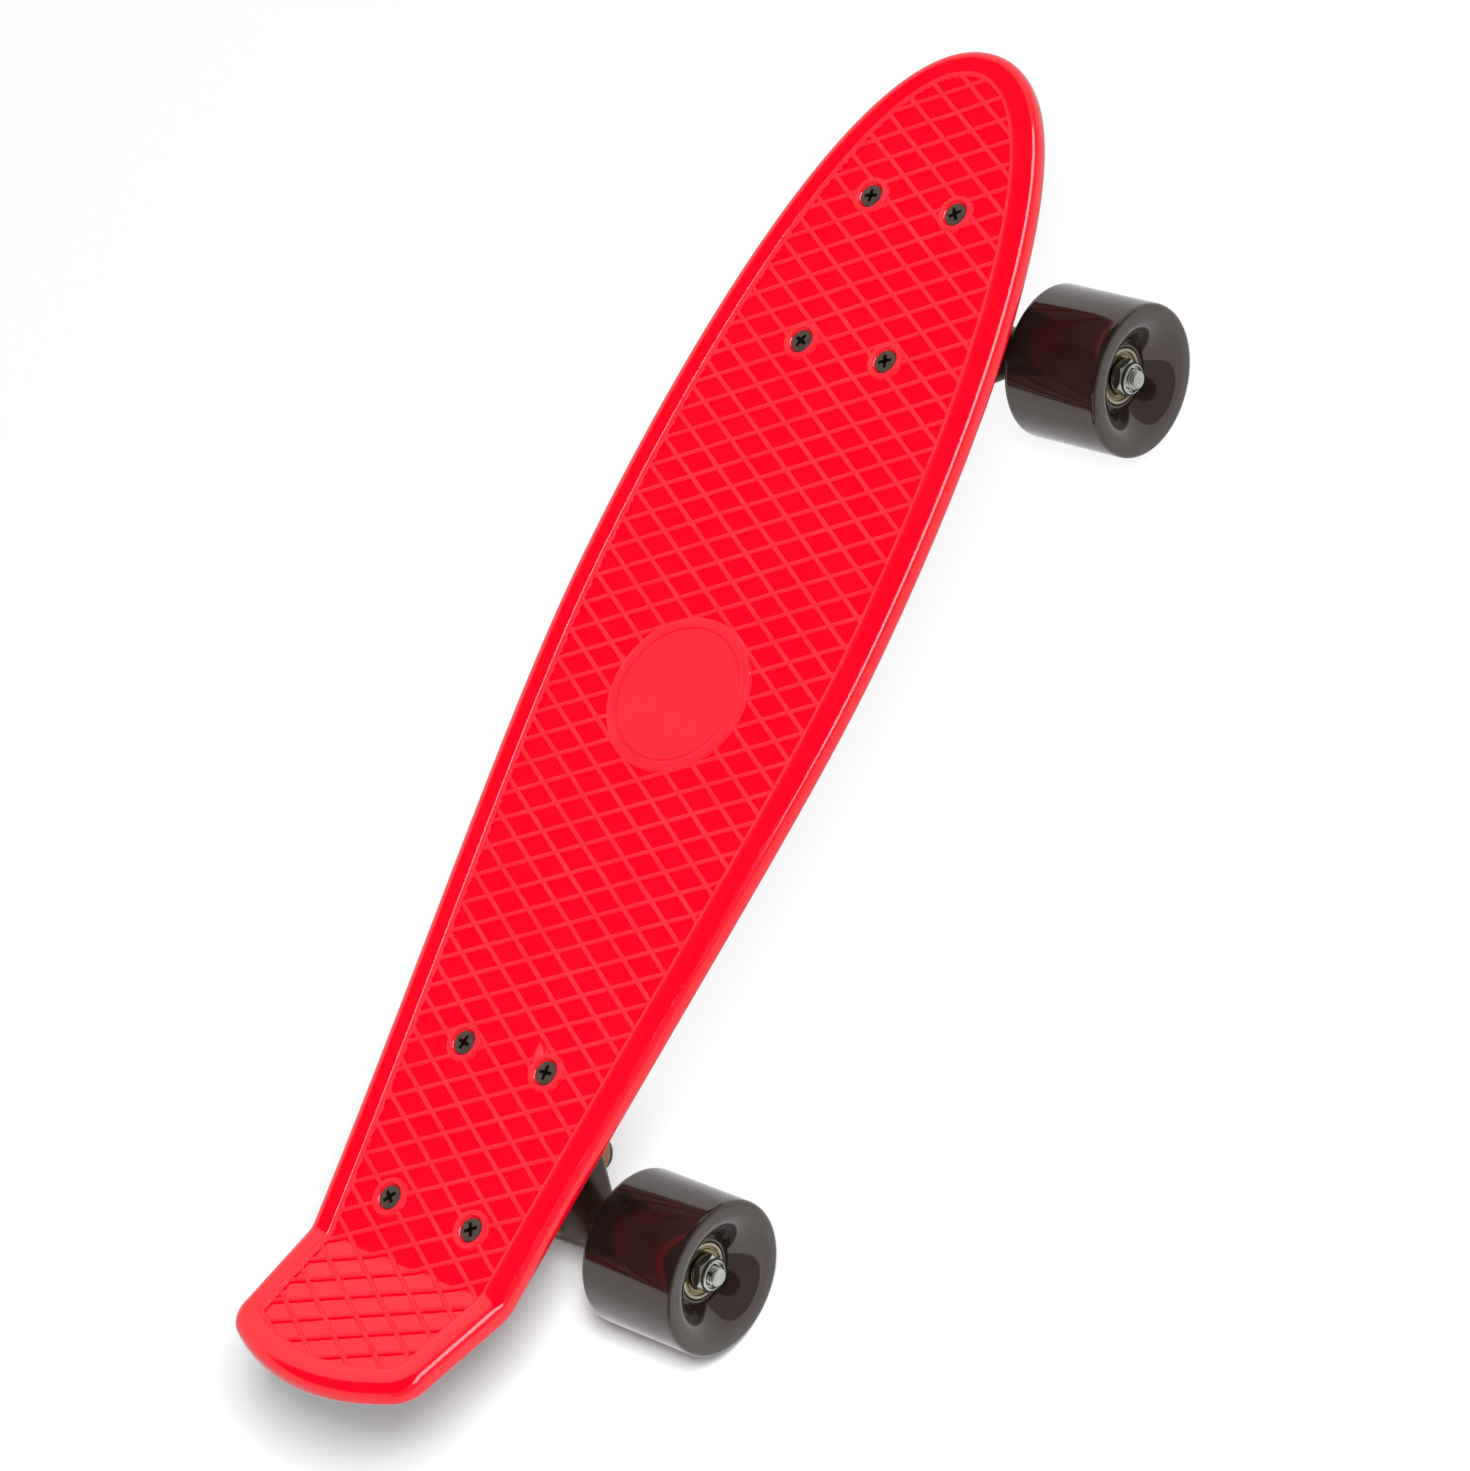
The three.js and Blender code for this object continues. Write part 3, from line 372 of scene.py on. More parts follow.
def deck_top(outline):
    net = Net(inset(outline, RIM_WIDTH))
    for distance, _ in BORDER_SECTION[1:]:
        net.loop(inset(outline, distance))
    for centre, section, _, steps in ISLANDS:
        for radius, _ in section:
            net.loop(circle(centre, radius, steps))
    for x in CROSS_LINES:
        net.clipped((x, -DECK_WIDTH), (x, DECK_WIDTH), inset(outline, RIM_WIDTH + 0.1))
    field = inset(outline, RIM_WIDTH + BORDER_RIB_WIDTH - 0.2)
    islands = [(centre, radius - 0.1) for centre, _, radius, _ in ISLANDS]
    count = math.ceil(DECK_LENGTH / CELL_PITCH)
    slope, lean = math.tan(RIB_ANGLE), math.sin(RIB_ANGLE)
    reach = DECK_WIDTH / slope
    for sign in (1, -1):
        for step in range(-count, count + 1):
            for offset in RIB_OFFSETS:
                x = DISC_X + step * CELL_PITCH + offset / lean
                start, end = (x - reach, -sign * DECK_WIDTH), (x + reach, sign * DECK_WIDTH)
                net.clipped(start, end, field, islands)

    def height(points):
        result = np.full(len(points), float(CELL_FLOOR))
        along = points[:, 0] - DISC_X
        for sign in (1, -1):
            crossing = (along - sign * points[:, 1] / slope) / CELL_PITCH
            off = np.abs(crossing - np.round(crossing)) * CELL_PITCH * lean
            result = np.maximum(result, follow(RIB_SECTION, off))
        result = np.maximum(result, follow(BORDER_SECTION, depth_in(outline, points)))
        for centre, section, radius, _ in ISLANDS:
            off = np.linalg.norm(points - centre, axis=1)
            own = follow(section, off)
            near = off < radius + DRAFT
            result[near] = np.where(off < radius - 0.5, own, np.maximum(result, own))[near]
        return result

    return net.surface(height, BOLT_HOLES)


def rounded_rectangle(centre, length, width, radius, steps=8):
    x, y = length / 2 - radius, width / 2 - radius
    corners = [(x, y, 0), (-x, y, 90), (-x, -y, 180), (x, -y, 270)]
    points = [p for cx, cy, start in corners for p in arc((cx, cy), radius, start, start + 90, steps)]
    return np.array(points) + centre


def deck_underside(outline):
    foot = SKIRT_THICKNESS + DRAFT
    skirt = [
        (SKIRT_THICKNESS, -EDGE_DEPTH + SOFT_EDGE), (foot, -SHEET_DEPTH - SOFT_EDGE),
        (foot + 0.5, -SHEET_DEPTH),
    ]
    rib = [
        (STIFFENER_WIDTH / 2 - SOFT_EDGE, -EDGE_DEPTH),
        (STIFFENER_WIDTH / 2, -EDGE_DEPTH + SOFT_EDGE), (STIFFENER_WIDTH / 2 + DRAFT, -SHEET_DEPTH),
    ]
    pad = [(-SOFT_EDGE, -PAD_DEPTH), (0, -PAD_DEPTH + SOFT_EDGE), (DRAFT, -SHEET_DEPTH)]

    def pad_loop(x, grow):
        size = (PAD_LENGTH + 2 * grow, PAD_WIDTH + 2 * grow, PAD_CORNER_RADIUS + grow)
        return rounded_rectangle((x, 0), *size)

    net = Net(inset(outline, SKIRT_THICKNESS))
    for distance, _ in skirt[1:]:
        net.loop(inset(outline, distance))
    for x in PATTERN_X.values():
        for grow, _ in pad:
            net.loop(pad_loop(x, grow))
    for place in BOLT_PLACES:
        net.loop(circle(place, BOLT_HOLE_RADIUS, BOSS_STEPS))
    field = inset(outline, foot + 0.2)
    for x in CROSS_LINES:
        net.clipped((x, -DECK_WIDTH), (x, DECK_WIDTH), inset(outline, SKIRT_THICKNESS + 0.1))
    for middle in STIFFENERS:
        for off, _ in rib:
            for side in (1, -1):
                y = middle + side * off
                net.clipped((-DECK_LENGTH, y), (DECK_LENGTH, y), field)

    def height(points):
        depth = depth_in(outline, points)
        result = follow(skirt, depth)
        for middle in STIFFENERS:
            result = np.minimum(result, follow(rib, np.abs(points[:, 1] - middle)))
        for x in PATTERN_X.values():
            loop = pad_loop(x, 0)
            off = depth_in(loop, points)
            off = np.where(inside(loop, points), -off, off)
            result = np.minimum(result, follow(pad, off))
        return np.where(depth < SKIRT_THICKNESS + 0.01, skirt[0][1], result)

    return net.surface(height, BOLT_HOLES)


def deck_edge(outline):
    """The rim's outside, from the skirt's inner foot round to the border rib."""
    section = [(SKIRT_THICKNESS, -EDGE_DEPTH + SOFT_EDGE), (SKIRT_THICKNESS - SOFT_EDGE, -EDGE_DEPTH)]
    bottom_centre = (EDGE_BOTTOM_RADIUS, EDGE_BOTTOM_RADIUS - EDGE_DEPTH)
    section += arc(bottom_centre, EDGE_BOTTOM_RADIUS, 270, 180, 5)
    section += arc(EDGE_TOP_CENTRE, EDGE_TOP_RADIUS, 180, 90, 9)
    section += [(RIM_WIDTH - 0.45, 0), (RIM_WIDTH - 0.15, -0.06), BORDER_SECTION[0]]
    points = [(x, y, height) for distance, height in section for x, y in inset(outline, distance)]
    return points, grid_faces(len(section), len(outline), False)


def bolt_bores():
    """The walls of the bolt holes, from the countersinks down to the pads."""
    bores = []
    for place in BOLT_PLACES:
        ring = circle(place, BOLT_HOLE_RADIUS, BOSS_STEPS)
        points = [(x, y, height) for height in (BOSS_SECTION[0][1], -PAD_DEPTH) for x, y in ring]
        bores.append((points, grid_faces(2, BOSS_STEPS, False)))
    return together(*bores)


def rib_wear_and_sheen_flags(points, faces):
    """One flag for each face of the top that shoes rub and that gets a painted sheen: the ribs, the raised
    rings and the disc.
    """
    return points[np.array(faces)].mean(axis=1)[:, 2] > WEAR_AND_SHEEN_DEPTH


def make_deck():
    outline = deck_outline()
    top = deck_top(outline)
    parts = [deck_edge(outline), top, deck_underside(outline), bolt_bores()]
    flags = [rib_wear_and_sheen_flags(*part) if part is top else np.zeros(len(part[1])) for part in parts]
    points, faces = together(*[([tuple(p) for p in part[0]], part[1]) for part in parts])
    # The raised faces of the top wear a rougher look whose lighter colour is a painted sheen
    wear_and_sheen_look = (looks["ribs_wear_and_painted_sheen"], np.concatenate(flags))
    piece = mesh_object("moulded_deck", bent(points), faces, looks["deck_plastic"], DECK_SHARP_ANGLE, wear_and_sheen_look)
    return settle(piece, "board", "deck")


# Turned and hexagonal pieces, on the Z axis of their own frame

# A thread's depth and its tip's, in pitches, and the slope of the tip's chamfer
THREAD_DEPTH, TIP_DEPTH, TIP_SLOPE = 0.55, 0.6, 1.4


def rounded(corners, steps=4):
    """A closed profile of (radius, height, corner radius) with its corners rounded."""
    profile = []
    count = len(corners)
    for i, (radius, height, soft) in enumerate(corners):
        corner = np.array((radius, height), float)
        if soft == 0:
            profile.append(tuple(corner))
            continue
        before = np.array(corners[i - 1][:2], float) - corner
        after = np.array(corners[(i + 1) % count][:2], float) - corner
        long_before, long_after = np.linalg.norm(before), np.linalg.norm(after)
        cosine = np.dot(before, after) / long_before / long_after
        half = math.acos(max(-1, min(1, cosine))) / 2
        reach = min(soft / math.tan(half), 0.48 * long_before, 0.48 * long_after)
        start, end = corner + before / long_before * reach, corner + after / long_after * reach
        for t in np.linspace(0, 1, steps + 1):
            profile.append(tuple((1 - t) ** 2 * start + 2 * (1 - t) * t * corner + t ** 2 * end))
    return profile


def ring_points(reach, height, steps):
    """One ring of points round the Z axis; the reach is one radius or one for each point."""
    angles = 2 * math.pi * np.arange(steps) / steps
    return list(zip(reach * np.cos(angles), reach * np.sin(angles), np.full(steps, float(height))))


def revolved(profile, steps, closed):
    points = [p for radius, height in profile for p in ring_points(radius, height, steps)]
    return points, grid_faces(len(profile), steps, closed)


def turned(profile, steps, across=None):
    """A closed profile turned round the Z axis; with a width across flats it is cut to a hexagon."""
    if across:
        angles = 2 * math.pi * np.arange(steps) / steps
        limit = across / 2 / np.cos((angles + math.pi / 6) % (math.pi / 3) - math.pi / 6)
        profile = [(np.minimum(radius, limit), height) for radius, height in profile]
    return revolved(profile, steps, True)


def grid_faces(rings, steps, closed):
    faces = []
    for ring in range(rings if closed else rings - 1):
        low = ring * steps
        high = (ring + 1) % rings * steps
        for i in range(steps):
            after = (i + 1) % steps
            faces.append((low + i, low + after, high + after, high + i))
    return faces


def threaded_rod(radius, plain_from, thread_from, tip, pitch, steps):
    """A rod with a helical thread from thread_from to its chamfered tip."""
    angles = 2 * math.pi * np.arange(steps) / steps
    way = 1 if tip > plain_from else -1
    count = max(2, round(abs(tip - thread_from) / pitch * 5))
    profile = [(0, plain_from), (radius, plain_from), (radius, thread_from)]
    for step in range(1, count + 1):
        height = thread_from + (tip - thread_from) * step / count
        phase = (height / pitch - angles / 2 / math.pi) % 1
        reach = radius - THREAD_DEPTH * pitch * np.abs(2 * phase - 1)
        chamfer = radius - TIP_DEPTH * pitch + TIP_SLOPE * (tip - height) * way
        profile.append((np.minimum(reach, chamfer), height))
    return revolved([*profile, (0, tip)], steps, False)


def placed(part, matrix):
    points, faces = part
    return [tuple(matrix @ Vector(p)) for p in points], faces


def together(*parts):
    points, faces = [], []
    for part in parts:
        first = len(points)
        points += part[0]
        faces += [tuple(first + i for i in face) for face in part[1]]
    return points, faces


def hull(points):
    """The convex hull of some points."""
    work = bmesh.new()
    for point in points:
        work.verts.new(point)
    found = bmesh.ops.convex_hull(work, input=work.verts)
    loose = {v for v in found["geom_interior"] + found["geom_unused"] if isinstance(v, bmesh.types.BMVert)}
    bmesh.ops.delete(work, geom=list(loose), context="VERTS")
    work.verts.index_update()
    result = [tuple(v.co) for v in work.verts], [tuple(v.index for v in f.verts) for f in work.faces]
    work.free()
    return result


# A lock nut's collar as a share of its hexagon, and the mouth of the plastic insert in it
COLLAR_SHARE = 0.95
COLLAR_ROUND = 0.9
INSERT_WIDTH = 0.9
INSERT_DEPTH = 1.6
NUT_BEVEL = math.radians(30)


def lock_nut(across, height, collar, bore):
    """A lock nut that seats at zero height, with a chamfered hexagon and a rounded collar."""
    flat, corner = across / 2, across / math.sqrt(3)
    hexagon_top = height - collar
    rise = (corner - flat) * math.tan(NUT_BEVEL)
    bevel = [((corner - flat) * t, rise * t) for t in (0, 0.25, 0.5, 0.75, 1)]
    edge = flat * COLLAR_SHARE
    return turned([
        (bore, 0), (flat - 0.15, 0),
        *[(flat + out, up) for out, up in bevel],
        *[(flat + out, hexagon_top - up) for out, up in reversed(bevel)],
        (edge + 0.35, hexagon_top + 0.02), (edge, hexagon_top + 0.35),
        *arc((edge - COLLAR_ROUND, height - COLLAR_ROUND), COLLAR_ROUND, 0, 90, 5),
        (bore + INSERT_WIDTH + 0.2, height), (bore + INSERT_WIDTH, height - 0.3),
        (bore + INSERT_WIDTH, height - INSERT_DEPTH + 0.1), (bore, height - INSERT_DEPTH),
    ], 72, across)


# Truck, in a frame with its origin on the baseplate's face, X to the board's middle, Z up

BASE_Z = DECK_TOP - PAD_DEPTH
AXLE_OFFSET = 7.4
KINGPIN_TILT = math.radians(19)
KINGPIN_FOOT_X = -1.5
KINGPIN_RADIUS = 4.75
KINGPIN_HEAD_TOP = 4
KINGPIN_HEAD_HEIGHT = 6
KINGPIN_HEAD_BEVEL = 0.7
KINGPIN_ACROSS = 14.3
KINGPIN_TIP = 1.6
KINGPIN_NUT_HEIGHT = 6.2
KINGPIN_NUT_COLLAR = 2.4
WASHER_RADIUS = 12.6
WASHER_THICKNESS = 2
WASHER_LIP = 1
ROAD_WASHER_RADIUS = 10.4
ROAD_WASHER_THICKNESS = 1.5
BOARD_BUSHING_HEIGHT = 13.2
BUSHING_RADIUS = 12.6
ROAD_BUSHING_HEIGHT = 12
ROAD_BUSHING_TIP_RADIUS = 12
BUSHING_BULGE = 0.8
BUSHING_SWELL = 0.35
RING_THICKNESS = 9
RING_RADIUS = 16
RING_CUP_DEPTH = 1.6
RING_HOLE_RADIUS = 6.8
PLATE_LENGTH = 80
PLATE_WIDTH = 55
PLATE_THICKNESS = 5
PLATE_CORNER_RADIUS = 7
PLATE_FACING = 0.15
SEAT_RISE = 21.2
SEAT_RADIUS = 13
HUMP_LENGTH = 34
HUMP_WIDTH = 30
HUMP_CORNER_RADIUS = 5
PIVOT_X = -29
PIVOT_DROP = 12
PIVOT_RADIUS = 5.2
PIVOT_LENGTH = 15
PIVOT_CUP_WALL = 1.7
PIVOT_CUP_LENGTH = 6
PIVOT_HOUSING_WALL = 3
PIVOT_RELIEF = 1.2
HOUSING_RADIUS = 9
HOUSING_END_RADIUS = 8.2
SHOULDER_X = 24
ARM_HALF_WIDTH = 12
ARM_RADIUS = 6.5
AXLE_RADIUS = 4
AXLE_LENGTH = 162.8
AXLE_TIP = 2.2
AXLE_THREAD_LENGTH = 11
THREAD_PITCH = 1.25
GAP = 0.3
NUT_PLAY = 0.1
# How far a cutter reaches past what it cuts
PAST = 2
KINGPIN_BORE = KINGPIN_RADIUS + GAP
BOLT_RADIUS = 2.4
BOLT_LENGTH = 25.4
BOLT_HEAD_RADIUS = 4.6
BOLT_HEAD_SINK = 1
DECK_NUT_ACROSS = 9.5
DECK_NUT_HEIGHT = 5.5
DECK_NUT_COLLAR = 1.6

WHEEL_WIDTH = 44
WHEEL_EDGE_RADIUS = 2.6
WHEEL_INNER_EDGE_RADIUS = 2.2
WHEEL_LIP_RADIUS = 24.8
DISH_POWER = 1.7
OUTER_RECESS = 10.5
INNER_RECESS = 9.5
HUB_RADIUS = 12.4
BOWL_RADIUS = 21.8
WHEEL_BORE_RADIUS = 8.5
BEARING_RADIUS = 11
BEARING_WIDTH = 7
SPEED_WASHER_RADIUS = 6.6
SPEED_WASHER_THICKNESS = 0.8
AXLE_NUT_ACROSS = 13
AXLE_NUT_HEIGHT = 4.8
AXLE_NUT_COLLAR = 1.9
BEARING_SPACING = WHEEL_WIDTH - OUTER_RECESS - INNER_RECESS - 2 * BEARING_WIDTH
HANGER_END_Y = (
    AXLE_LENGTH / 2 - AXLE_TIP - AXLE_NUT_HEIGHT - 2 * SPEED_WASHER_THICKNESS
    - 2 * GAP - 2 * BEARING_WIDTH - BEARING_SPACING
)

BOARD_WASHER_AT = SEAT_RISE + GAP
BOARD_BUSHING_AT = BOARD_WASHER_AT + WASHER_THICKNESS + GAP
RING_AT = BOARD_BUSHING_AT + BOARD_BUSHING_HEIGHT + GAP
ROAD_BUSHING_AT = RING_AT + RING_THICKNESS + GAP
ROAD_WASHER_AT = ROAD_BUSHING_AT + ROAD_BUSHING_HEIGHT + GAP
KINGPIN_NUT_AT = ROAD_WASHER_AT + ROAD_WASHER_THICKNESS + GAP
KINGPIN_TIP_AT = KINGPIN_NUT_AT + KINGPIN_NUT_HEIGHT + KINGPIN_TIP


def turn_about(axis, angle):
    return Matrix.Rotation(angle, 4, axis)


def moved(x, y, z):
    return Matrix.Translation((x, y, z))


def shifted(height):
    return moved(0, 0, height)


KINGPIN_FRAME = moved(KINGPIN_FOOT_X, 0, 0) @ turn_about("Y", -KINGPIN_TILT)
PIVOT_POINT = Vector((PIVOT_X, 0, -PIVOT_DROP))
RING_MIDDLE = KINGPIN_FRAME @ Vector((0, 0, -RING_AT - RING_THICKNESS / 2))
STEERING_TILT = math.atan2(PIVOT_POINT.z - RING_MIDDLE.z, RING_MIDDLE.x - PIVOT_POINT.x)
STEERING_FRAME = Matrix.Translation(PIVOT_POINT) @ turn_about("Y", math.pi / 2 + STEERING_TILT)
TOWARDS_Y = turn_about("X", -math.pi / 2)
AXLE_FRAME = moved(-AXLE_OFFSET, 0, -AXLE_DROP) @ TOWARDS_Y
TRUCK_FRAMES = {
    end: moved(PATTERN_X[end], 0, BASE_Z) @ turn_about("Z", turn)
    for end, turn in (("front", math.pi), ("rear", 0))
}


def rings_of(matrix, radius, *heights):
    return [tuple(matrix @ Vector(p)) for height in heights for p in ring_points(radius, height, 48)]


def rod(matrix, radius, low, high, steps=64):
    return placed(turned([(0, low), (radius, low), (radius, high), (0, high)], steps), matrix)


def evaluated(piece, name):
    bpy.context.view_layer.update()
    graph = bpy.context.evaluated_depsgraph_get()
    mesh = bpy.data.meshes.new_from_object(piece.evaluated_get(graph))
    mesh.name = name
    return mesh


# Sizes of a casting's grid, which set how far its inner corners fill, and how often it is smoothed
PLATE_GRID = 0.8
HANGER_GRID = 0.7
WEB_GRID = 1.2
CAST_SMOOTHING = 5
KEPT_SHARE = 0.4


def casting(name, solids, cutters, grid, smoothing):
    """Solids merged into one casting with softened edges, then machined by the cutters."""
    look = looks["black_paint"]
    raw = mesh_object(name + "_raw", *together(*solids), look)
    remesh = raw.modifiers.new("merge", "REMESH")
    remesh.mode = "VOXEL"
    remesh.voxel_size = grid * MM
    soften = raw.modifiers.new("soften", "SMOOTH")
    soften.factor = 0.5
    soften.iterations = smoothing
    raw.modifiers.new("thin", "DECIMATE").ratio = KEPT_SHARE
    cast = link_object(name + "_cast", evaluated(raw, name + "_cast"))
    tools = [mesh_object(f"{name}_tool_{i}", *cutter, look) for i, cutter in enumerate(cutters)]
    for tool in tools:
        cut = cast.modifiers.new("cut", "BOOLEAN")
        cut.operation = "DIFFERENCE"
        cut.object = tool
        cut.solver = "EXACT"
    mesh = evaluated(cast, name)
    for used in (raw, cast, *tools):
        bpy.data.objects.remove(used)
    return mesh


def baseplate_mesh():
    plate_loop = rounded_rectangle((0, 0), PLATE_LENGTH, PLATE_WIDTH, PLATE_CORNER_RADIUS)
    plate = hull([(x, y, z) for x, y in plate_loop for z in (0, -PLATE_THICKNESS)])
    inside_plate = -PLATE_THICKNESS / 2
    socket = PIVOT_RADIUS + GAP + PIVOT_CUP_WALL + GAP
    wall = socket + PIVOT_HOUSING_WALL
    housing = hull([
        *rings_of(STEERING_FRAME, wall, -socket - PIVOT_HOUSING_WALL / 2, PIVOT_CUP_LENGTH),
        *rings_of(moved(PIVOT_X, 0, 0), wall, inside_plate),
    ])
    hump_loop = rounded_rectangle((0, 0), HUMP_LENGTH, HUMP_WIDTH, HUMP_CORNER_RADIUS)
    hump_foot = [(x, y, inside_plate) for x, y in hump_loop]
    hump = hull(hump_foot + rings_of(KINGPIN_FRAME, SEAT_RADIUS, -SEAT_RISE))
    gusset = hull([
        (x, side * PIVOT_RADIUS, z)
        for x in (PIVOT_X, 0) for side in (1, -1) for z in (inside_plate, -PIVOT_DROP)
    ])
    head_foot = -KINGPIN_HEAD_TOP - KINGPIN_HEAD_HEIGHT - GAP
    hexagon = turned([
        (0, head_foot), (KINGPIN_ACROSS, head_foot), (KINGPIN_ACROSS, SEAT_RISE), (0, SEAT_RISE),
    ], 48, KINGPIN_ACROSS + 2 * GAP)
    block = hull([
        (x * PLATE_LENGTH, y * PLATE_LENGTH, z)
        for x in (1, -1) for y in (1, -1) for z in (-PLATE_FACING, PLATE_LENGTH)
    ])
    cutters = [
        block,
        rod(STEERING_FRAME, socket, -socket, PIVOT_CUP_LENGTH + PAST),
        rod(STEERING_FRAME, PIVOT_RADIUS + PIVOT_RELIEF, 0, (RING_MIDDLE - PIVOT_POINT).length),
        rod(KINGPIN_FRAME, KINGPIN_BORE, -SEAT_RISE - PAST, PAST),
        placed(hexagon, KINGPIN_FRAME),
    ]
    for x, y in BOLT_CORNERS:
        cutters.append(rod(moved(x, y, 0), BOLT_RADIUS + GAP, -PLATE_THICKNESS - PAST, PAST, 32))
    return casting("baseplate", [plate, housing, hump, gusset], cutters, PLATE_GRID, CAST_SMOOTHING)


def hanger_mesh():
    cup = BUSHING_RADIUS + BUSHING_BULGE + GAP
    ring_top = -RING_AT + RING_CUP_DEPTH
    ring_bottom = -RING_AT - RING_THICKNESS - RING_CUP_DEPTH
    half = HANGER_END_Y
    housing = turned([
        (0, -half), (HOUSING_END_RADIUS, -half), (HOUSING_RADIUS, -SHOULDER_X),
        (HOUSING_RADIUS, SHOULDER_X), (HOUSING_END_RADIUS, half), (0, half),
    ], 64)
    web = hull([
        *rings_of(AXLE_FRAME, HOUSING_RADIUS, SHOULDER_X, -SHOULDER_X),
        *rings_of(KINGPIN_FRAME, RING_RADIUS, ring_top, ring_bottom),
    ])
    arm = hull([
        *rings_of(AXLE_FRAME, ARM_RADIUS, ARM_HALF_WIDTH, -ARM_HALF_WIDTH),
        *rings_of(STEERING_FRAME, ARM_RADIUS, PIVOT_LENGTH),
    ])
    pivot = turned([
        *arc((0, 0), PIVOT_RADIUS, -90, 0, 8),
        (PIVOT_RADIUS, PIVOT_LENGTH - PIVOT_RADIUS), (ARM_RADIUS, PIVOT_LENGTH + ARM_RADIUS / 2),
        (0, PIVOT_LENGTH + ARM_RADIUS / 2),
    ], 48)
    sweep = PIVOT_LENGTH + AXLE_DROP
    clear = cup + RING_CUP_DEPTH
    relief = [
        rod(KINGPIN_FRAME, clear, ring_top, sweep),
        rod(KINGPIN_FRAME, clear, ring_bottom - sweep, ring_bottom),
    ]
    webbing = casting("web", [web, arm], relief, WEB_GRID, 0)
    solids = [
        rod(KINGPIN_FRAME, RING_RADIUS, ring_bottom, ring_top),
        placed(housing, AXLE_FRAME),
        placed(pivot, STEERING_FRAME),
        ([tuple(v.co / MM) for v in webbing.vertices], [tuple(face.vertices) for face in webbing.polygons]),
    ]
    bpy.data.meshes.remove(webbing)
    cutters = [
        rod(KINGPIN_FRAME, cup, -RING_AT, ring_top + PAST),
        rod(KINGPIN_FRAME, cup, ring_bottom - PAST, -RING_AT - RING_THICKNESS),
        rod(KINGPIN_FRAME, RING_HOLE_RADIUS, ring_bottom - PAST, ring_top + PAST),
        rod(AXLE_FRAME, AXLE_RADIUS + GAP, -AXLE_LENGTH, AXLE_LENGTH, 32),
    ]
    return casting("hanger", solids, cutters, HANGER_GRID, CAST_SMOOTHING)


def cup_washer():
    lip = -WASHER_THICKNESS - WASHER_LIP
    return turned(rounded([
        (KINGPIN_BORE, 0, 0.2), (WASHER_RADIUS, 0, 1.3), (WASHER_RADIUS + WASHER_LIP, lip, 0.25),
        (WASHER_RADIUS, lip, 0.25), (WASHER_RADIUS - WASHER_LIP, -WASHER_THICKNESS, 0.6),
        (KINGPIN_BORE, -WASHER_THICKNESS, 0.2),
    ]), 96)


def washer(bore, radius, far, bore_soft, soft, steps):
    """A flat washer between zero height and the far side."""
    corners = [(bore, 0, bore_soft), (radius, 0, soft), (radius, far, soft), (bore, far, bore_soft)]
    return turned(rounded(corners), steps)


def bushing(height, top_radius, bottom_radius):
    middle = (top_radius + bottom_radius) / 2 + BUSHING_SWELL
    return turned(rounded([
        (KINGPIN_BORE, 0, 0.4), (top_radius - 0.2, 0, 1.2), (top_radius, -BUSHING_BULGE, 0.8),
        (middle, -height / 2, 3), (bottom_radius, -height + BUSHING_BULGE, 0.8),
        (bottom_radius - 0.2, -height, 1.2), (KINGPIN_BORE, -height, 0.4),
    ], 5), 96)


def kingpin():
    low, high = -KINGPIN_HEAD_TOP - KINGPIN_HEAD_HEIGHT, -KINGPIN_HEAD_TOP
    flat, corner = KINGPIN_ACROSS / 2, KINGPIN_ACROSS / math.sqrt(3)
    outline = [(0, low), (corner, low), (corner, high - KINGPIN_HEAD_BEVEL), (flat, high), (0, high)]
    thread_from = -KINGPIN_NUT_AT + 1
    shank = threaded_rod(KINGPIN_RADIUS, low + 1, thread_from, -KINGPIN_TIP_AT, THREAD_PITCH, 48)
    return together(turned(outline, 72, KINGPIN_ACROSS), shank)


def pivot_cup():
    inner, outer = PIVOT_RADIUS + GAP, PIVOT_RADIUS + GAP + PIVOT_CUP_WALL
    mouth = PIVOT_CUP_LENGTH - PIVOT_CUP_WALL
    return turned([
        *arc((0, 0), inner, -90, 0, 8),
        (inner, mouth - 0.4), (inner + 0.4, mouth), (outer - 0.3, mouth), (outer, mouth - 0.3),
        (outer, -inner), (outer - PIVOT_CUP_WALL, -outer), (0, -outer),
    ], 48)


def axle():
    half = AXLE_LENGTH / 2
    thread = threaded_rod(AXLE_RADIUS, 0, half - AXLE_THREAD_LENGTH, half, THREAD_PITCH, 40)
    return together(*[placed(thread, turn_about("X", turn)) for turn in (0, math.pi)])


def add(name, part, matrix, look, body, node):
    return settle(mesh_object(name, *placed(part, matrix), looks[look]), body, node)


def settle(piece, body, node):
    """Says what a piece rides on, if it isn't blended, and hides the node that it shows."""
    if body:
        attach(piece, body)
    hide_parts(node)
    return piece


def second_look(piece, look, centre, wears):
    """Gives another look to the faces whose middle, seen from a centre, passes a test."""
    piece.data.materials.append(looks[look])
    for face in piece.data.polygons:
        if wears(face.center / MM - centre):
            face.material_index = 1


def moved_mesh(mesh, name, matrix, look):
    copy = mesh.copy()
    copy.name = name
    scale = Matrix.Diagonal((MM, MM, MM, 1))
    copy.transform(scale @ matrix @ scale.inverted())
    copy.materials.clear()
    copy.materials.append(look)
    shade(copy, CAST_SHARP_ANGLE)
    return link_object(name, copy)


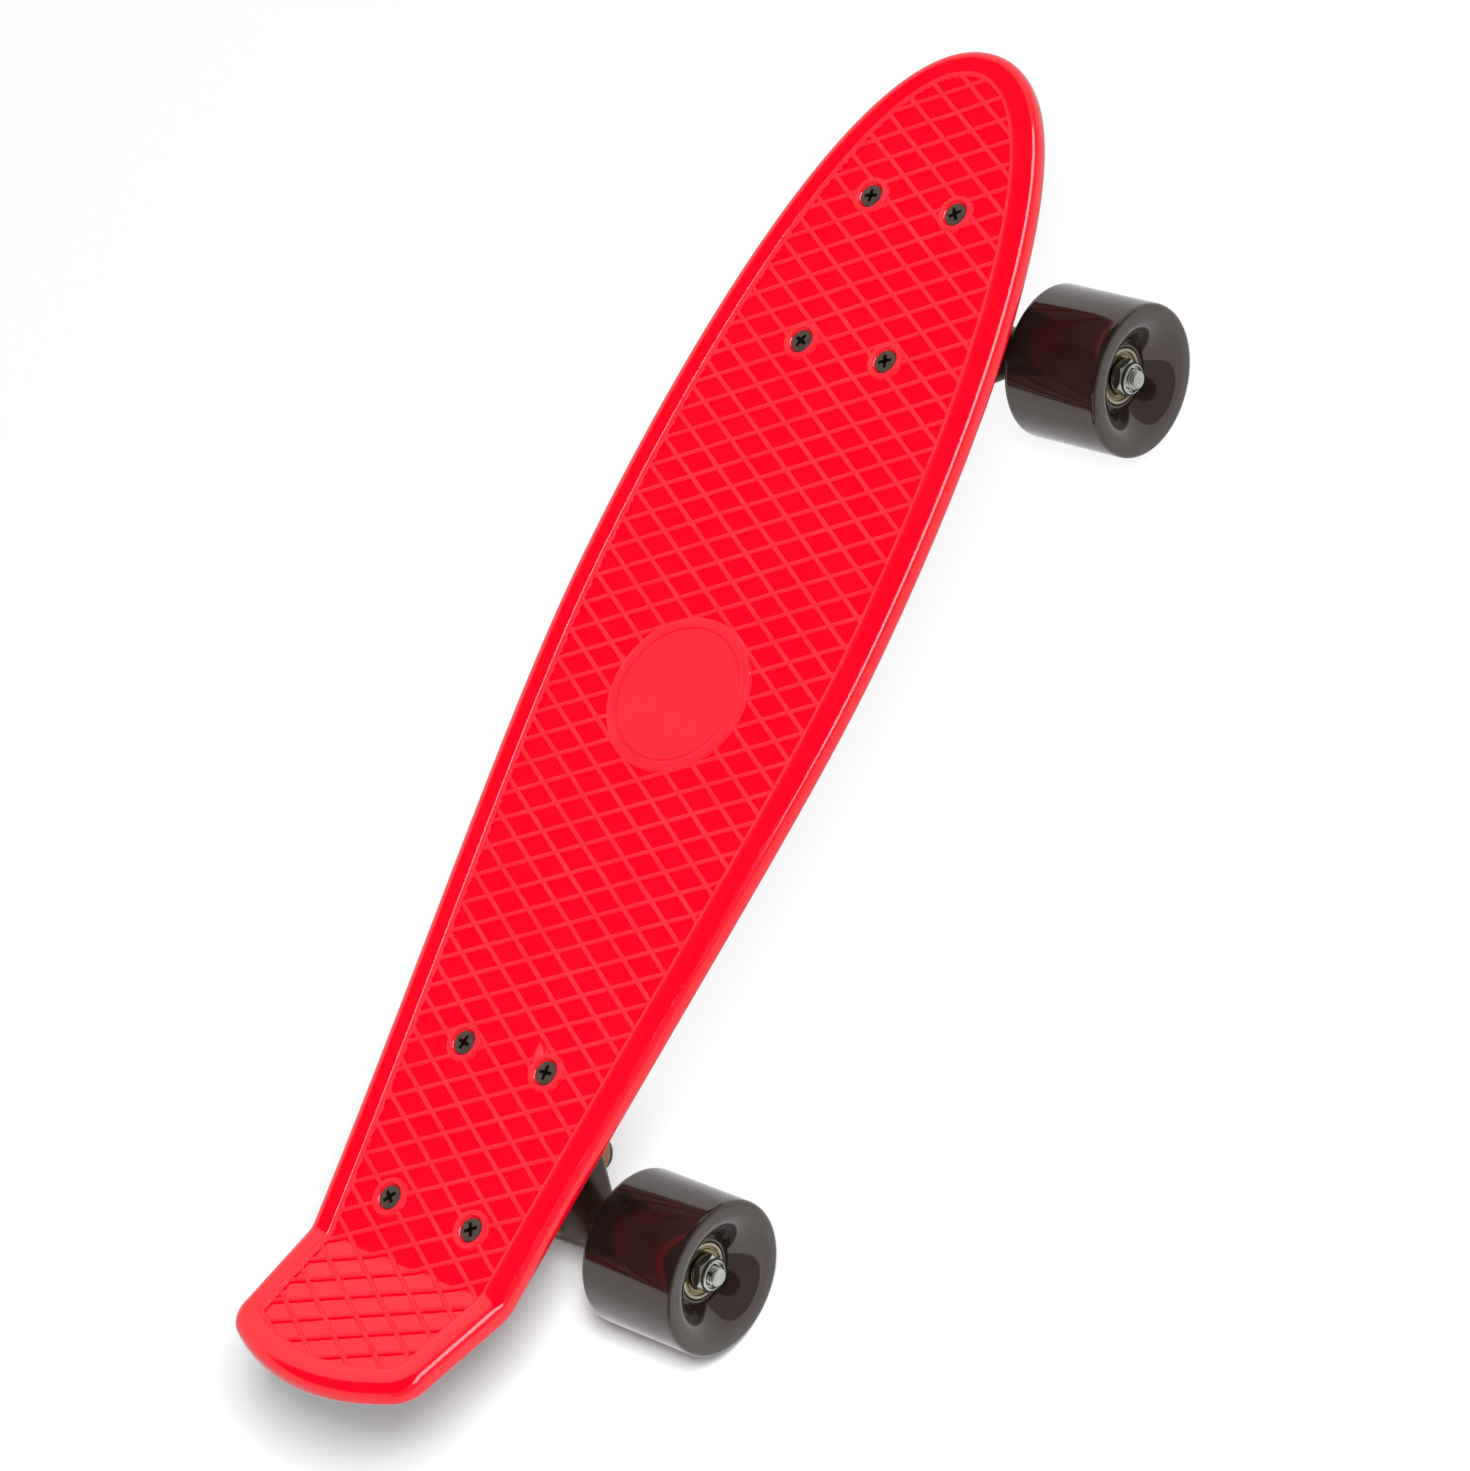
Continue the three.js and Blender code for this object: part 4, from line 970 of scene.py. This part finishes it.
def make_truck(end, base, hanger):
    truck = TRUCK_FRAMES[end]
    stack = truck @ KINGPIN_FRAME
    carrier = f"{end}_axle_carrier"
    for node, mesh, body in (("baseplate", base, "board"), ("hanger", hanger, carrier)):
        piece = moved_mesh(mesh, f"cast_{node}_{end}", truck, looks["black_paint"])
        settle(piece, body, f"{end}_{node}")
    nut = lock_nut(KINGPIN_ACROSS, KINGPIN_NUT_HEIGHT, KINGPIN_NUT_COLLAR, KINGPIN_RADIUS + NUT_PLAY)
    road_washer = washer(KINGPIN_BORE, ROAD_WASHER_RADIUS, -ROAD_WASHER_THICKNESS, 0.15, 0.3, 96)
    on_kingpin = [
        ("kingpin_bolt", kingpin(), stack, "kingpin"),
        ("kingpin_lock_nut", nut, stack @ shifted(-KINGPIN_NUT_AT) @ turn_about("X", math.pi), "kingpin_nut"),
        ("upper_cup_washer", cup_washer(), stack @ shifted(-BOARD_WASHER_AT), "board_side_washer"),
        ("lower_washer", road_washer, stack @ shifted(-ROAD_WASHER_AT), "road_side_washer"),
    ]
    for name, part, place, node in on_kingpin:
        add(f"{name}_{end}", part, place, "black_steel", "board", f"{end}_{node}")
    upper = bushing(BOARD_BUSHING_HEIGHT, BUSHING_RADIUS - BUSHING_BULGE, BUSHING_RADIUS)
    lower = bushing(ROAD_BUSHING_HEIGHT, BUSHING_RADIUS, ROAD_BUSHING_TIP_RADIUS)
    squeezed = [
        ("upper", upper, BOARD_BUSHING_AT, BOARD_BUSHING_HEIGHT, "board_side", ("board", carrier)),
        ("lower", lower, ROAD_BUSHING_AT, ROAD_BUSHING_HEIGHT, "road_side", (carrier, "board")),
    ]
    for name, part, at, height, node, bodies in squeezed:
        place = stack @ shifted(-at)
        piece = add(f"{name}_bushing_{end}", part, place, "bushing_urethane", None, f"{end}_{node}_bushing")
        start, stop = (tuple(place @ Vector((0, 0, z)) * MM) for z in (0, -height))
        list(bodies)
        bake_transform(piece)
        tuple(start)
        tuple(stop)
    socket = truck @ STEERING_FRAME
    add(f"pivot_socket_{end}", pivot_cup(), socket, "nylon", "board", f"{end}_pivot_cup")
    add(f"threaded_axle_{end}", axle(), truck @ AXLE_FRAME, "zinc", carrier, f"{end}_axle")


# Wheels

DISH_STEPS = 24
DISH_FOOT_RISE = 0.3
BOWL_SHARE = 0.8
BEARING_EDGE = 0.35
BEARING_BORE_EDGE = 0.25
# A bearing's face outwards from its bore: inner ring, shield, groove and outer ring
BEARING_FACE = [
    (6.0, 0), (6.2, -0.2), (6.2, -0.8), (6.5, -0.8), (6.55, -0.3), (6.8, -0.15), (8.3, -0.15),
    (8.6, -0.5), (9.1, -0.5), (9.15, -0.8), (9.45, -0.8), (9.5, -0.15), (9.65, 0),
]
# Where a bearing has its shield's look: between these radii, and so near its face
SHIELD_RADII = (6.2, 9.47)
SHIELD_DEPTH = 1


def wheel():
    """A wheel with its origin in its middle and Z away from the board."""
    out, inn = WHEEL_WIDTH / 2, -WHEEL_WIDTH / 2
    seat = BEARING_RADIUS + GAP
    outer_seat = out - OUTER_RECESS
    outer_stop = outer_seat - BEARING_WIDTH - GAP
    inner_seat = inn + INNER_RECESS
    inner_stop = inner_seat + BEARING_WIDTH + GAP
    dish_run = HUB_RADIUS - WHEEL_LIP_RADIUS
    dish_drop = out - (outer_seat + DISH_FOOT_RISE)
    profile = rounded([
        (seat + 0.4, inn + INNER_RECESS * BOWL_SHARE, 0), (BOWL_RADIUS, inn, 2.5),
        (WHEEL_RADIUS, inn, WHEEL_INNER_EDGE_RADIUS), (WHEEL_RADIUS, out, WHEEL_EDGE_RADIUS),
        (WHEEL_LIP_RADIUS, out, 0),
    ], 8)
    for t in np.linspace(0, 1, DISH_STEPS + 1)[1:]:
        profile.append((WHEEL_LIP_RADIUS + dish_run * t, out - dish_drop * t ** DISH_POWER))
    profile += rounded([
        (HUB_RADIUS - 0.1, outer_seat, 0.2), (seat, outer_seat, 0.3), (seat, outer_stop, 0.2),
        (WHEEL_BORE_RADIUS, outer_stop, 0.3), (WHEEL_BORE_RADIUS, inner_stop, 0.3),
        (seat, inner_stop, 0.2), (seat, inner_seat, 0.4),
    ], 4)
    return turned(profile, 128)


def bearing():
    """A shielded bearing with its shown face at zero height and its body below."""
    bore = AXLE_RADIUS + GAP
    return turned([
        (bore, -BEARING_BORE_EDGE), (bore + BEARING_BORE_EDGE, 0),
        *BEARING_FACE,
        (BEARING_RADIUS - BEARING_EDGE, 0), (BEARING_RADIUS, -BEARING_EDGE),
        (BEARING_RADIUS, -BEARING_WIDTH + BEARING_EDGE),
        (BEARING_RADIUS - BEARING_EDGE, -BEARING_WIDTH), (bore, -BEARING_WIDTH),
    ], 96)


def axle_nut():
    """A lock nut and the speed washer under it, which seats at zero height."""
    bore = AXLE_RADIUS + NUT_PLAY
    speed_washer = washer(bore, SPEED_WASHER_RADIUS, SPEED_WASHER_THICKNESS - 0.02, 0.1, 0.25, 72)
    nut = lock_nut(AXLE_NUT_ACROSS, AXLE_NUT_HEIGHT, AXLE_NUT_COLLAR, bore)
    return together(speed_washer, placed(nut, shifted(SPEED_WASHER_THICKNESS)))


def make_wheel(end, side):
    name = f"{end}_{side}"
    body = f"{name}_rolling_wheel"
    outward = 1 if side == "left" else -1
    offset = AXLE_OFFSET if end == "front" else -AXLE_OFFSET
    hub = moved(PATTERN_X[end] + offset, outward * HANGER_END_Y, WHEEL_RADIUS)
    out = hub @ turn_about("Z", 0 if outward > 0 else math.pi) @ TOWARDS_Y
    inner_face = SPEED_WASHER_THICKNESS + GAP
    outer_face = inner_face + 2 * BEARING_WIDTH + BEARING_SPACING
    middle = out @ shifted(inner_face - INNER_RECESS + WHEEL_WIDTH / 2)
    add(f"cast_wheel_{name}", wheel(), middle, "wheel_urethane", body, f"{name}_wheel")
    for where, face, turn in (("outer", outer_face, 0), ("inner", inner_face, math.pi)):
        place = out @ shifted(face) @ turn_about("X", turn)
        node = f"{name}_{where}_bearing"
        piece = add(f"bearing_{where}_{name}", bearing(), place, "bearing_steel", body, node)

        def shielded(p):
            near, far = SHIELD_RADII
            return near < math.hypot(p.x, p.z) < far and abs(abs(p.y) - face) < SHIELD_DEPTH

        second_look(piece, "shield", hub.translation, shielded)
    nut_place = out @ shifted(outer_face + GAP)
    add(f"lock_nut_{name}", axle_nut(), nut_place, "zinc", f"{end}_axle_carrier", f"{name}_axle_nut")


# Deck bolts

BOLT_HEAD_EDGE = 0.45
BOLT_HEAD_STEPS = 48
BOLT_CROWN = 0.25
BOLT_NECK = 0.4
BOLT_SHELL_FOOT = -12
BOLT_THREAD_FROM = -16
BOLT_THREAD_PITCH = 0.8
BOLT_TURNS = (12, 38, 71, 25, 80, 5, 52, 33)
# The two steps of the cross recess: reach, half width and softness, with the height of each
CROSS_MOUTH, CROSS_MOUTH_Z = (2.8, 0.7, 0.5), -1.6
CROSS_FOOT, CROSS_FOOT_Z = (1.9, 0.45, 0.35), -2.2
# Where the recess is painted near black as shade: within this radius and between these heights
RECESS_REACH = 2.95
RECESS_HEIGHTS = (-2.5, -0.2)


def cross_loop(reach, half_width, soft):
    """The outline of a cross recess, with rounded inner corners."""
    quarter = [
        (reach, -half_width), (reach, half_width), (half_width + soft, half_width),
        (half_width + soft * 0.3, half_width + soft * 0.3), (half_width, half_width + soft),
    ]
    points = []
    for turn in range(4):
        c, s = math.cos(turn * math.pi / 2), math.sin(turn * math.pi / 2)
        points += [(x * c - y * s, x * s + y * c) for x, y in quarter]
    return np.array(points)


def bolt():
    """A countersunk bolt with its head's top at zero height."""
    face_radius = BOLT_HEAD_RADIUS - BOLT_HEAD_EDGE
    net = Net(circle((0, 0), face_radius, BOLT_HEAD_STEPS))
    mouth, foot = cross_loop(*CROSS_MOUTH), cross_loop(*CROSS_FOOT)
    net.loop(mouth)
    net.loop(foot)

    def height(points):
        in_mouth = inside(mouth, points) & (depth_in(mouth, points) > 0.01)
        in_foot = inside(foot, points) | (depth_in(foot, points) < 0.01)
        return np.where(in_foot, CROSS_FOOT_Z, np.where(in_mouth, CROSS_MOUTH_Z, 0))

    flat, faces = net.surface(height, [])
    crown = BOLT_CROWN * (1 - (np.linalg.norm(flat[:, :2], axis=1) / BOLT_HEAD_RADIUS) ** 2)
    flat[:, 2] += np.where(flat[:, 2] > -0.01, crown, 0)
    side = revolved([
        (face_radius, BOLT_CROWN * (1 - (face_radius / BOLT_HEAD_RADIUS) ** 2)),
        (BOLT_HEAD_RADIUS - 0.12, -0.06), (BOLT_HEAD_RADIUS, -0.25), (BOLT_HEAD_RADIUS, -BOLT_NECK),
        (BOLT_RADIUS, -BOLT_NECK - BOLT_HEAD_RADIUS + BOLT_RADIUS), (BOLT_RADIUS, BOLT_SHELL_FOOT),
        (0, BOLT_SHELL_FOOT),
    ], BOLT_HEAD_STEPS, False)
    shank = threaded_rod(
        BOLT_RADIUS - 0.02, BOLT_SHELL_FOOT + 1, BOLT_THREAD_FROM, -BOLT_LENGTH, BOLT_THREAD_PITCH, 24,
    )
    return together(([tuple(p) for p in flat], faces), side, shank)


def make_bolts():
    part = bolt()
    nut = lock_nut(DECK_NUT_ACROSS, DECK_NUT_HEIGHT, DECK_NUT_COLLAR, BOLT_RADIUS + NUT_PLAY)

    # Faces in the cross recess, which get a near-black painted shade
    def in_shaded_recess(p):
        return math.hypot(p.x, p.y) < RECESS_REACH and RECESS_HEIGHTS[0] < p.z < RECESS_HEIGHTS[1]

    for (x, y), angle in zip(BOLT_PLACES, BOLT_TURNS):
        end = "front" if x > 0 else "rear"
        side = "left" if y > 0 else "right"
        where = "outer" if abs(x) > abs(PATTERN_X[end]) else "inner"
        name = f"{end}_{side}_{where}"
        turn = turn_about("Z", math.radians(angle))
        head = moved(x, y, DECK_TOP - BOLT_HEAD_SINK) @ turn
        piece = add(f"bolt_{name}", part, head, "bolt_steel", "board", f"deck_bolt_{name}")
        second_look(piece, "bolt_recess_painted_shade", head.translation, in_shaded_recess)
        foot = moved(x, y, BASE_Z - PLATE_THICKNESS - GAP) @ turn_about("X", math.pi) @ turn
        add(f"nut_{name}", nut, foot, "black_steel", "board", f"deck_nut_{name}")


# Materials

def add_node(tree, kind, inputs=(), **settings):
    """A shader node with its settings; an input is given as a value or as the output to link."""
    node = tree.nodes.new("ShaderNode" + kind)
    for name, value in settings.items():
        setattr(node, name, value)
    for slot, value in dict(inputs).items():
        if isinstance(value, bpy.types.NodeSocket):
            tree.links.new(value, node.inputs[slot])
        else:
            node.inputs[slot].default_value = value
    return node


def add_math(tree, operation, *values):
    return add_node(tree, "Math", enumerate(values), operation=operation).outputs[0]


def map_range(tree, value, start, end, low, high, kind="LINEAR"):
    inputs = {"Value": value, "From Min": start, "From Max": end, "To Min": low, "To Max": high}
    return add_node(tree, "MapRange", inputs, interpolation_type=kind).outputs["Result"]


def noise(tree, scale, detail):
    """Noise in the object's own coordinates; the scale is in waves per metre."""
    place = add_node(tree, "TexCoord").outputs["Object"]
    return add_node(tree, "TexNoise", {"Vector": place, "Scale": scale, "Detail": detail}).outputs["Fac"]


def axes(tree, kind):
    """The X, Y and Z of one kind of coordinates."""
    return add_node(tree, "SeparateXYZ", {0: add_node(tree, "TexCoord").outputs[kind]}).outputs


def colour_ramp(tree, value, stops):
    """Colours blended along a value, from (position, red, green, blue) stops."""
    ramp = add_node(tree, "ValToRGB", {"Fac": value})
    elements = ramp.color_ramp.elements
    for element, stop in zip(elements, (stops[0], stops[-1])):
        element.position, element.color = stop[0], (*stop[1:], 1)
    for position, *colour in stops[1:-1]:
        elements.new(position).color = (*colour, 1)
    return ramp.outputs["Color"]


NOISE_LOW, NOISE_HIGH = 0.3, 0.7


def new_look(name, base, roughness, tone, rough=None, bumps=(), **inputs):
    """A look that noise varies.

    The tone is (noise scale, detail, two colours), rough is (noise scale, detail, two values), and each
    bump is (noise scale, detail, depth in millimetres). Other inputs of the shader are set as they are.
    """
    look = bpy.data.materials.new(name)
    look.use_nodes = True
    tree = look.node_tree
    shader = tree.nodes["Principled BSDF"]
    shader.inputs["Base Color"].default_value = (*base, 1)
    shader.inputs["Roughness"].default_value = roughness
    for slot, value in inputs.items():
        shader.inputs[slot.replace("_", " ")].default_value = value
    scale, detail, low, high = tone
    colour = colour_ramp(tree, noise(tree, scale, detail), [(NOISE_LOW, *low), (NOISE_HIGH, *high)])
    tree.links.new(colour, shader.inputs["Base Color"])
    if rough:
        scale, detail, low, high = rough
        value = map_range(tree, noise(tree, scale, detail), NOISE_LOW, NOISE_HIGH, low, high)
        tree.links.new(value, shader.inputs["Roughness"])
    normal = None
    for scale, detail, depth in bumps:
        layer = {"Distance": depth * MM, "Height": noise(tree, scale, detail)}
        if normal:
            layer["Normal"] = normal
        normal = add_node(tree, "Bump", layer).outputs["Normal"]
    if normal:
        tree.links.new(normal, shader.inputs["Normal"])
    return look


def metal_look(name, low, high, rough_low, rough_high):
    rough = (700, 4, rough_low, rough_high)
    return new_look(name, low, rough_low, (300, 4, low, high), rough, [(1400, 2, 0.01)], Metallic=1.0)


def make_looks():
    """All looks by name; ribs_wear_and_painted_sheen is the deck's plastic where shoes rub it, rougher, and
    painted slightly lighter as a sheen.
    """
    return {
        "deck_plastic": new_look(
            "moulded_red", (0.92, 0, 0.013), 0.12, (14, 3, (0.91, 0, 0.012), (0.94, 0, 0.015)),
            (60, 4, 0.09, 0.16), [(28, 1, 0.3), (2600, 2, 0.003)], IOR=1.5,
        ),
        # Rougher where shoes rub; its colour, slightly lighter than the deck's, is a painted sheen on the
        # ribs
        "ribs_wear_and_painted_sheen": new_look(
            "ribs_wear_and_painted_sheen", (0.93, 0.01, 0.027), 0.45, (40, 4, (0.92, 0.006, 0.022), (0.95, 0.015, 0.032)),
            (160, 4, 0.4, 0.6), [(900, 3, 0.02)],
        ),
        "bolt_steel": new_look(
            "bolt_steel", (0.09, 0.068, 0.052), 0.4, (500, 4, (0.075, 0.055, 0.042), (0.115, 0.088, 0.07)),
            (900, 4, 0.36, 0.55), [(1600, 2, 0.015)], Metallic=0.4,
        ),
        # Near black: painted shade in the bolts' cross recesses
        "bolt_recess_painted_shade": new_look(
            "bolt_recess_painted_shade", (0.006, 0.004, 0.003), 0.5, (900, 3, (0.004, 0.003, 0.002), (0.009, 0.006, 0.005)),
            bumps=[(1600, 2, 0.015)],
        ),
        "black_paint": new_look(
            "satin_black", (0.018, 0.009, 0.006), 0.3,
            (90, 4, (0.015, 0.0075, 0.005), (0.022, 0.011, 0.008)),
            (220, 4, 0.24, 0.38), [(100, 2, 0.04), (1500, 3, 0.006)], Specular_Tint=(1, 0.72, 0.62, 1),
        ),
        "black_steel": metal_look("black_steel", (0.075, 0.055, 0.045), (0.11, 0.085, 0.07), 0.3, 0.45),
        "zinc": metal_look("bright_zinc", (0.34, 0.35, 0.32), (0.46, 0.47, 0.43), 0.14, 0.26),
        "bearing_steel": metal_look("bearing_steel", (0.27, 0.24, 0.17), (0.38, 0.34, 0.25), 0.14, 0.26),
        "shield": metal_look("bearing_shield", (0.19, 0.15, 0.075), (0.27, 0.22, 0.115), 0.2, 0.32),
        "wheel_urethane": new_look(
            "smoky_urethane", (0.014, 0.007, 0.006), 0.06,
            (70, 3, (0.012, 0.006, 0.005), (0.017, 0.009, 0.0075)), (120, 4, 0.06, 0.11),
            [(60, 2, 0.02), (1800, 2, 0.001)], IOR=1.7, Specular_Tint=(1, 0.88, 0.85, 1),
        ),
        "bushing_urethane": new_look(
            "amber_urethane", (0.55, 0.17, 0.015), 0.3, (200, 3, (0.50, 0.15, 0.012), (0.60, 0.20, 0.02)),
            (400, 3, 0.25, 0.38), [(300, 2, 0.04)], Subsurface_Weight=0.25,
            Subsurface_Radius=(0.004, 0.0015, 0.0004), Subsurface_Scale=1.0,
        ),
        "nylon": new_look(
            "black_nylon", (0.02, 0.02, 0.02), 0.5, (300, 3, (0.016, 0.016, 0.016), (0.026, 0.026, 0.026)),
            bumps=[(900, 3, 0.02)],
        ),
    }


# Studio

CAMERA_PLACE = (-0.3459, -1.2569, 1.5872)
CAMERA_TURN = (27.456, 30.967, -60.432)
CAMERA_LENS = 131.31
FLOOR_REACH = 6
FLOOR_BOUNCE = (0.25, 0.27, 0.27, 1)
# How much of its own white the floor shows grows away from each of these lines:
# axis, place of the line, the two distances from it, and the shares there
FLOOR_OWN_WHITE = [
    ("X", -0.40, 0.20, 0.29, 0.05, 0.9), ("Y", 0.0, 0.35, 0.60, 0.05, 0.9),
    ("X", 0.0, 1.0, 3.0, 0, 1.0), ("Y", 0.0, 1.0, 3.0, 0, 1.0),
]
# What gloss shows of the studio, by the height of the direction, and how dim its near side is
GLOSS_STOPS = [(0.0, 1.0), (0.60, 1.0), (0.64, 0.12), (0.70, 0.04), (1.0, 0.03)]
NEAR_SIDE = (-0.35, -0.05)
NEAR_SIDE_GLOSS = 0.4
SOFT_LEVEL = 0.34
# Each lamp: place, target, size, power, the kind of ray that it shows in
KEY = ((-0.11, -1.20, 1.70), (0, 0, 0.05), (0.42, 0.42), 48, "diffuse")
STRIP = ((0.97, -1.18, 1.06), (0.1, 0, 0.05), (2.2, 0.55), 32, "glossy")


def make_camera():
    data = bpy.data.cameras.new("camera")
    data.lens = CAMERA_LENS
    data.sensor_width = 36
    data.sensor_fit = "HORIZONTAL"
    camera = link_object("camera", data)
    camera.location = CAMERA_PLACE
    camera.rotation_euler = [math.radians(angle) for angle in CAMERA_TURN]
    bpy.context.scene.camera = camera


def make_floor():
    """A white floor: to the camera and in gloss it shows partly its own white, least under the tail."""
    mesh = bpy.data.meshes.new("floor")
    corners = [(FLOOR_REACH * x, FLOOR_REACH * y, 0) for x, y in ((-1, -1), (1, -1), (1, 1), (-1, 1))]
    mesh.from_pydata(corners, [], [(0, 1, 2, 3)])
    tone = (3, 3, (0.945, 0.975, 0.975), (0.955, 0.985, 0.985))
    look = new_look("white_floor", (0.95, 0.98, 0.98), 0.9, tone, Specular_IOR_Level=0)
    tree = look.node_tree
    shader = tree.nodes["Principled BSDF"]
    path = add_node(tree, "LightPath").outputs
    base = shader.inputs["Base Color"]
    bounced = {"Fac": path["Is Diffuse Ray"], "Color1": base.links[0].from_socket, "Color2": FLOOR_BOUNCE}
    tree.links.new(add_node(tree, "MixRGB", bounced).outputs["Color"], base)
    place = axes(tree, "Object")
    own_white = 0
    for axis, middle, start, end, low, high in FLOOR_OWN_WHITE:
        distance = add_math(tree, "ABSOLUTE", add_math(tree, "SUBTRACT", place[axis], middle))
        share = map_range(tree, distance, start, end, low, high, "SMOOTHSTEP")
        own_white = add_math(tree, "MAXIMUM", own_white, share)
    seen = add_math(tree, "MAXIMUM", path["Is Camera Ray"], path["Is Glossy Ray"])
    layers = {"Fac": add_math(tree, "MULTIPLY", seen, own_white), 1: shader.outputs[0]}
    layers[2] = add_node(tree, "Emission").outputs[0]
    surface = add_node(tree, "MixShader", layers).outputs[0]
    tree.links.new(surface, tree.nodes["Material Output"].inputs["Surface"])
    mesh.materials.append(look)
    link_object("floor", mesh)


def make_world():
    """A studio that shows in gloss as white near the horizon, dimmer on the near side, dark overhead."""
    world = bpy.data.worlds.new("studio")
    bpy.context.scene.world = world
    world.use_nodes = True
    tree = world.node_tree
    tree.nodes.clear()
    path = add_node(tree, "LightPath").outputs
    way = axes(tree, "Generated")
    height_tone = colour_ramp(tree, way["Z"], [(place, tone, tone, tone) for place, tone in GLOSS_STOPS])
    side_level = map_range(tree, way["Y"], *NEAR_SIDE, NEAR_SIDE_GLOSS, 1)
    white = (1, 1, 1, 1)
    shown, soft, seen = (
        add_node(tree, "Background", {"Color": colour, "Strength": level}).outputs[0]
        for colour, level in ((height_tone, side_level), (white, SOFT_LEVEL), (white, 1))
    )
    lit = add_node(tree, "MixShader", {"Fac": path["Is Diffuse Ray"], 1: shown, 2: soft}).outputs[0]
    final = add_node(tree, "MixShader", {"Fac": path["Is Camera Ray"], 1: lit, 2: seen}).outputs[0]
    add_node(tree, "OutputWorld", {"Surface": final})


def add_softbox(name, place, target, size, power, shows_in, only=None):
    """A rectangular lamp for the diffuse or the glossy side, on every surface or on one piece only."""
    data = bpy.data.lights.new(name, "AREA")
    data.shape = "RECTANGLE"
    data.size, data.size_y = size
    data.energy = power
    lamp = link_object(name, data)
    lamp.location = place
    lamp.rotation_euler = (Vector(target) - Vector(place)).to_track_quat("-Z", "Y").to_euler()
    lamp.visible_glossy = shows_in == "glossy"
    lamp.visible_diffuse = shows_in == "diffuse"
    if only:
        lit = bpy.data.collections.new(name + "_lit")
        lit.objects.link(only)
        lamp.light_linking.receiver_collection = lit


def make_studio(deck):
    make_camera()
    make_floor()
    make_world()
    add_softbox("key", *KEY)
    add_softbox("strip", *STRIP, only=deck)
    bpy.context.scene.view_settings.view_transform = "Standard"


def main():
    for name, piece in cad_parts.items():
        piece.data.materials.clear()
        piece.data.materials.append(looks["zinc" if "spacer" in name else "black_steel"])
    deck = make_deck()
    make_bolts()
    base, hanger = baseplate_mesh(), hanger_mesh()
    for end in ("front", "rear"):
        make_truck(end, base, hanger)
        for side in ("left", "right"):
            make_wheel(end, side)
    make_studio(deck)


looks = make_looks()
main()
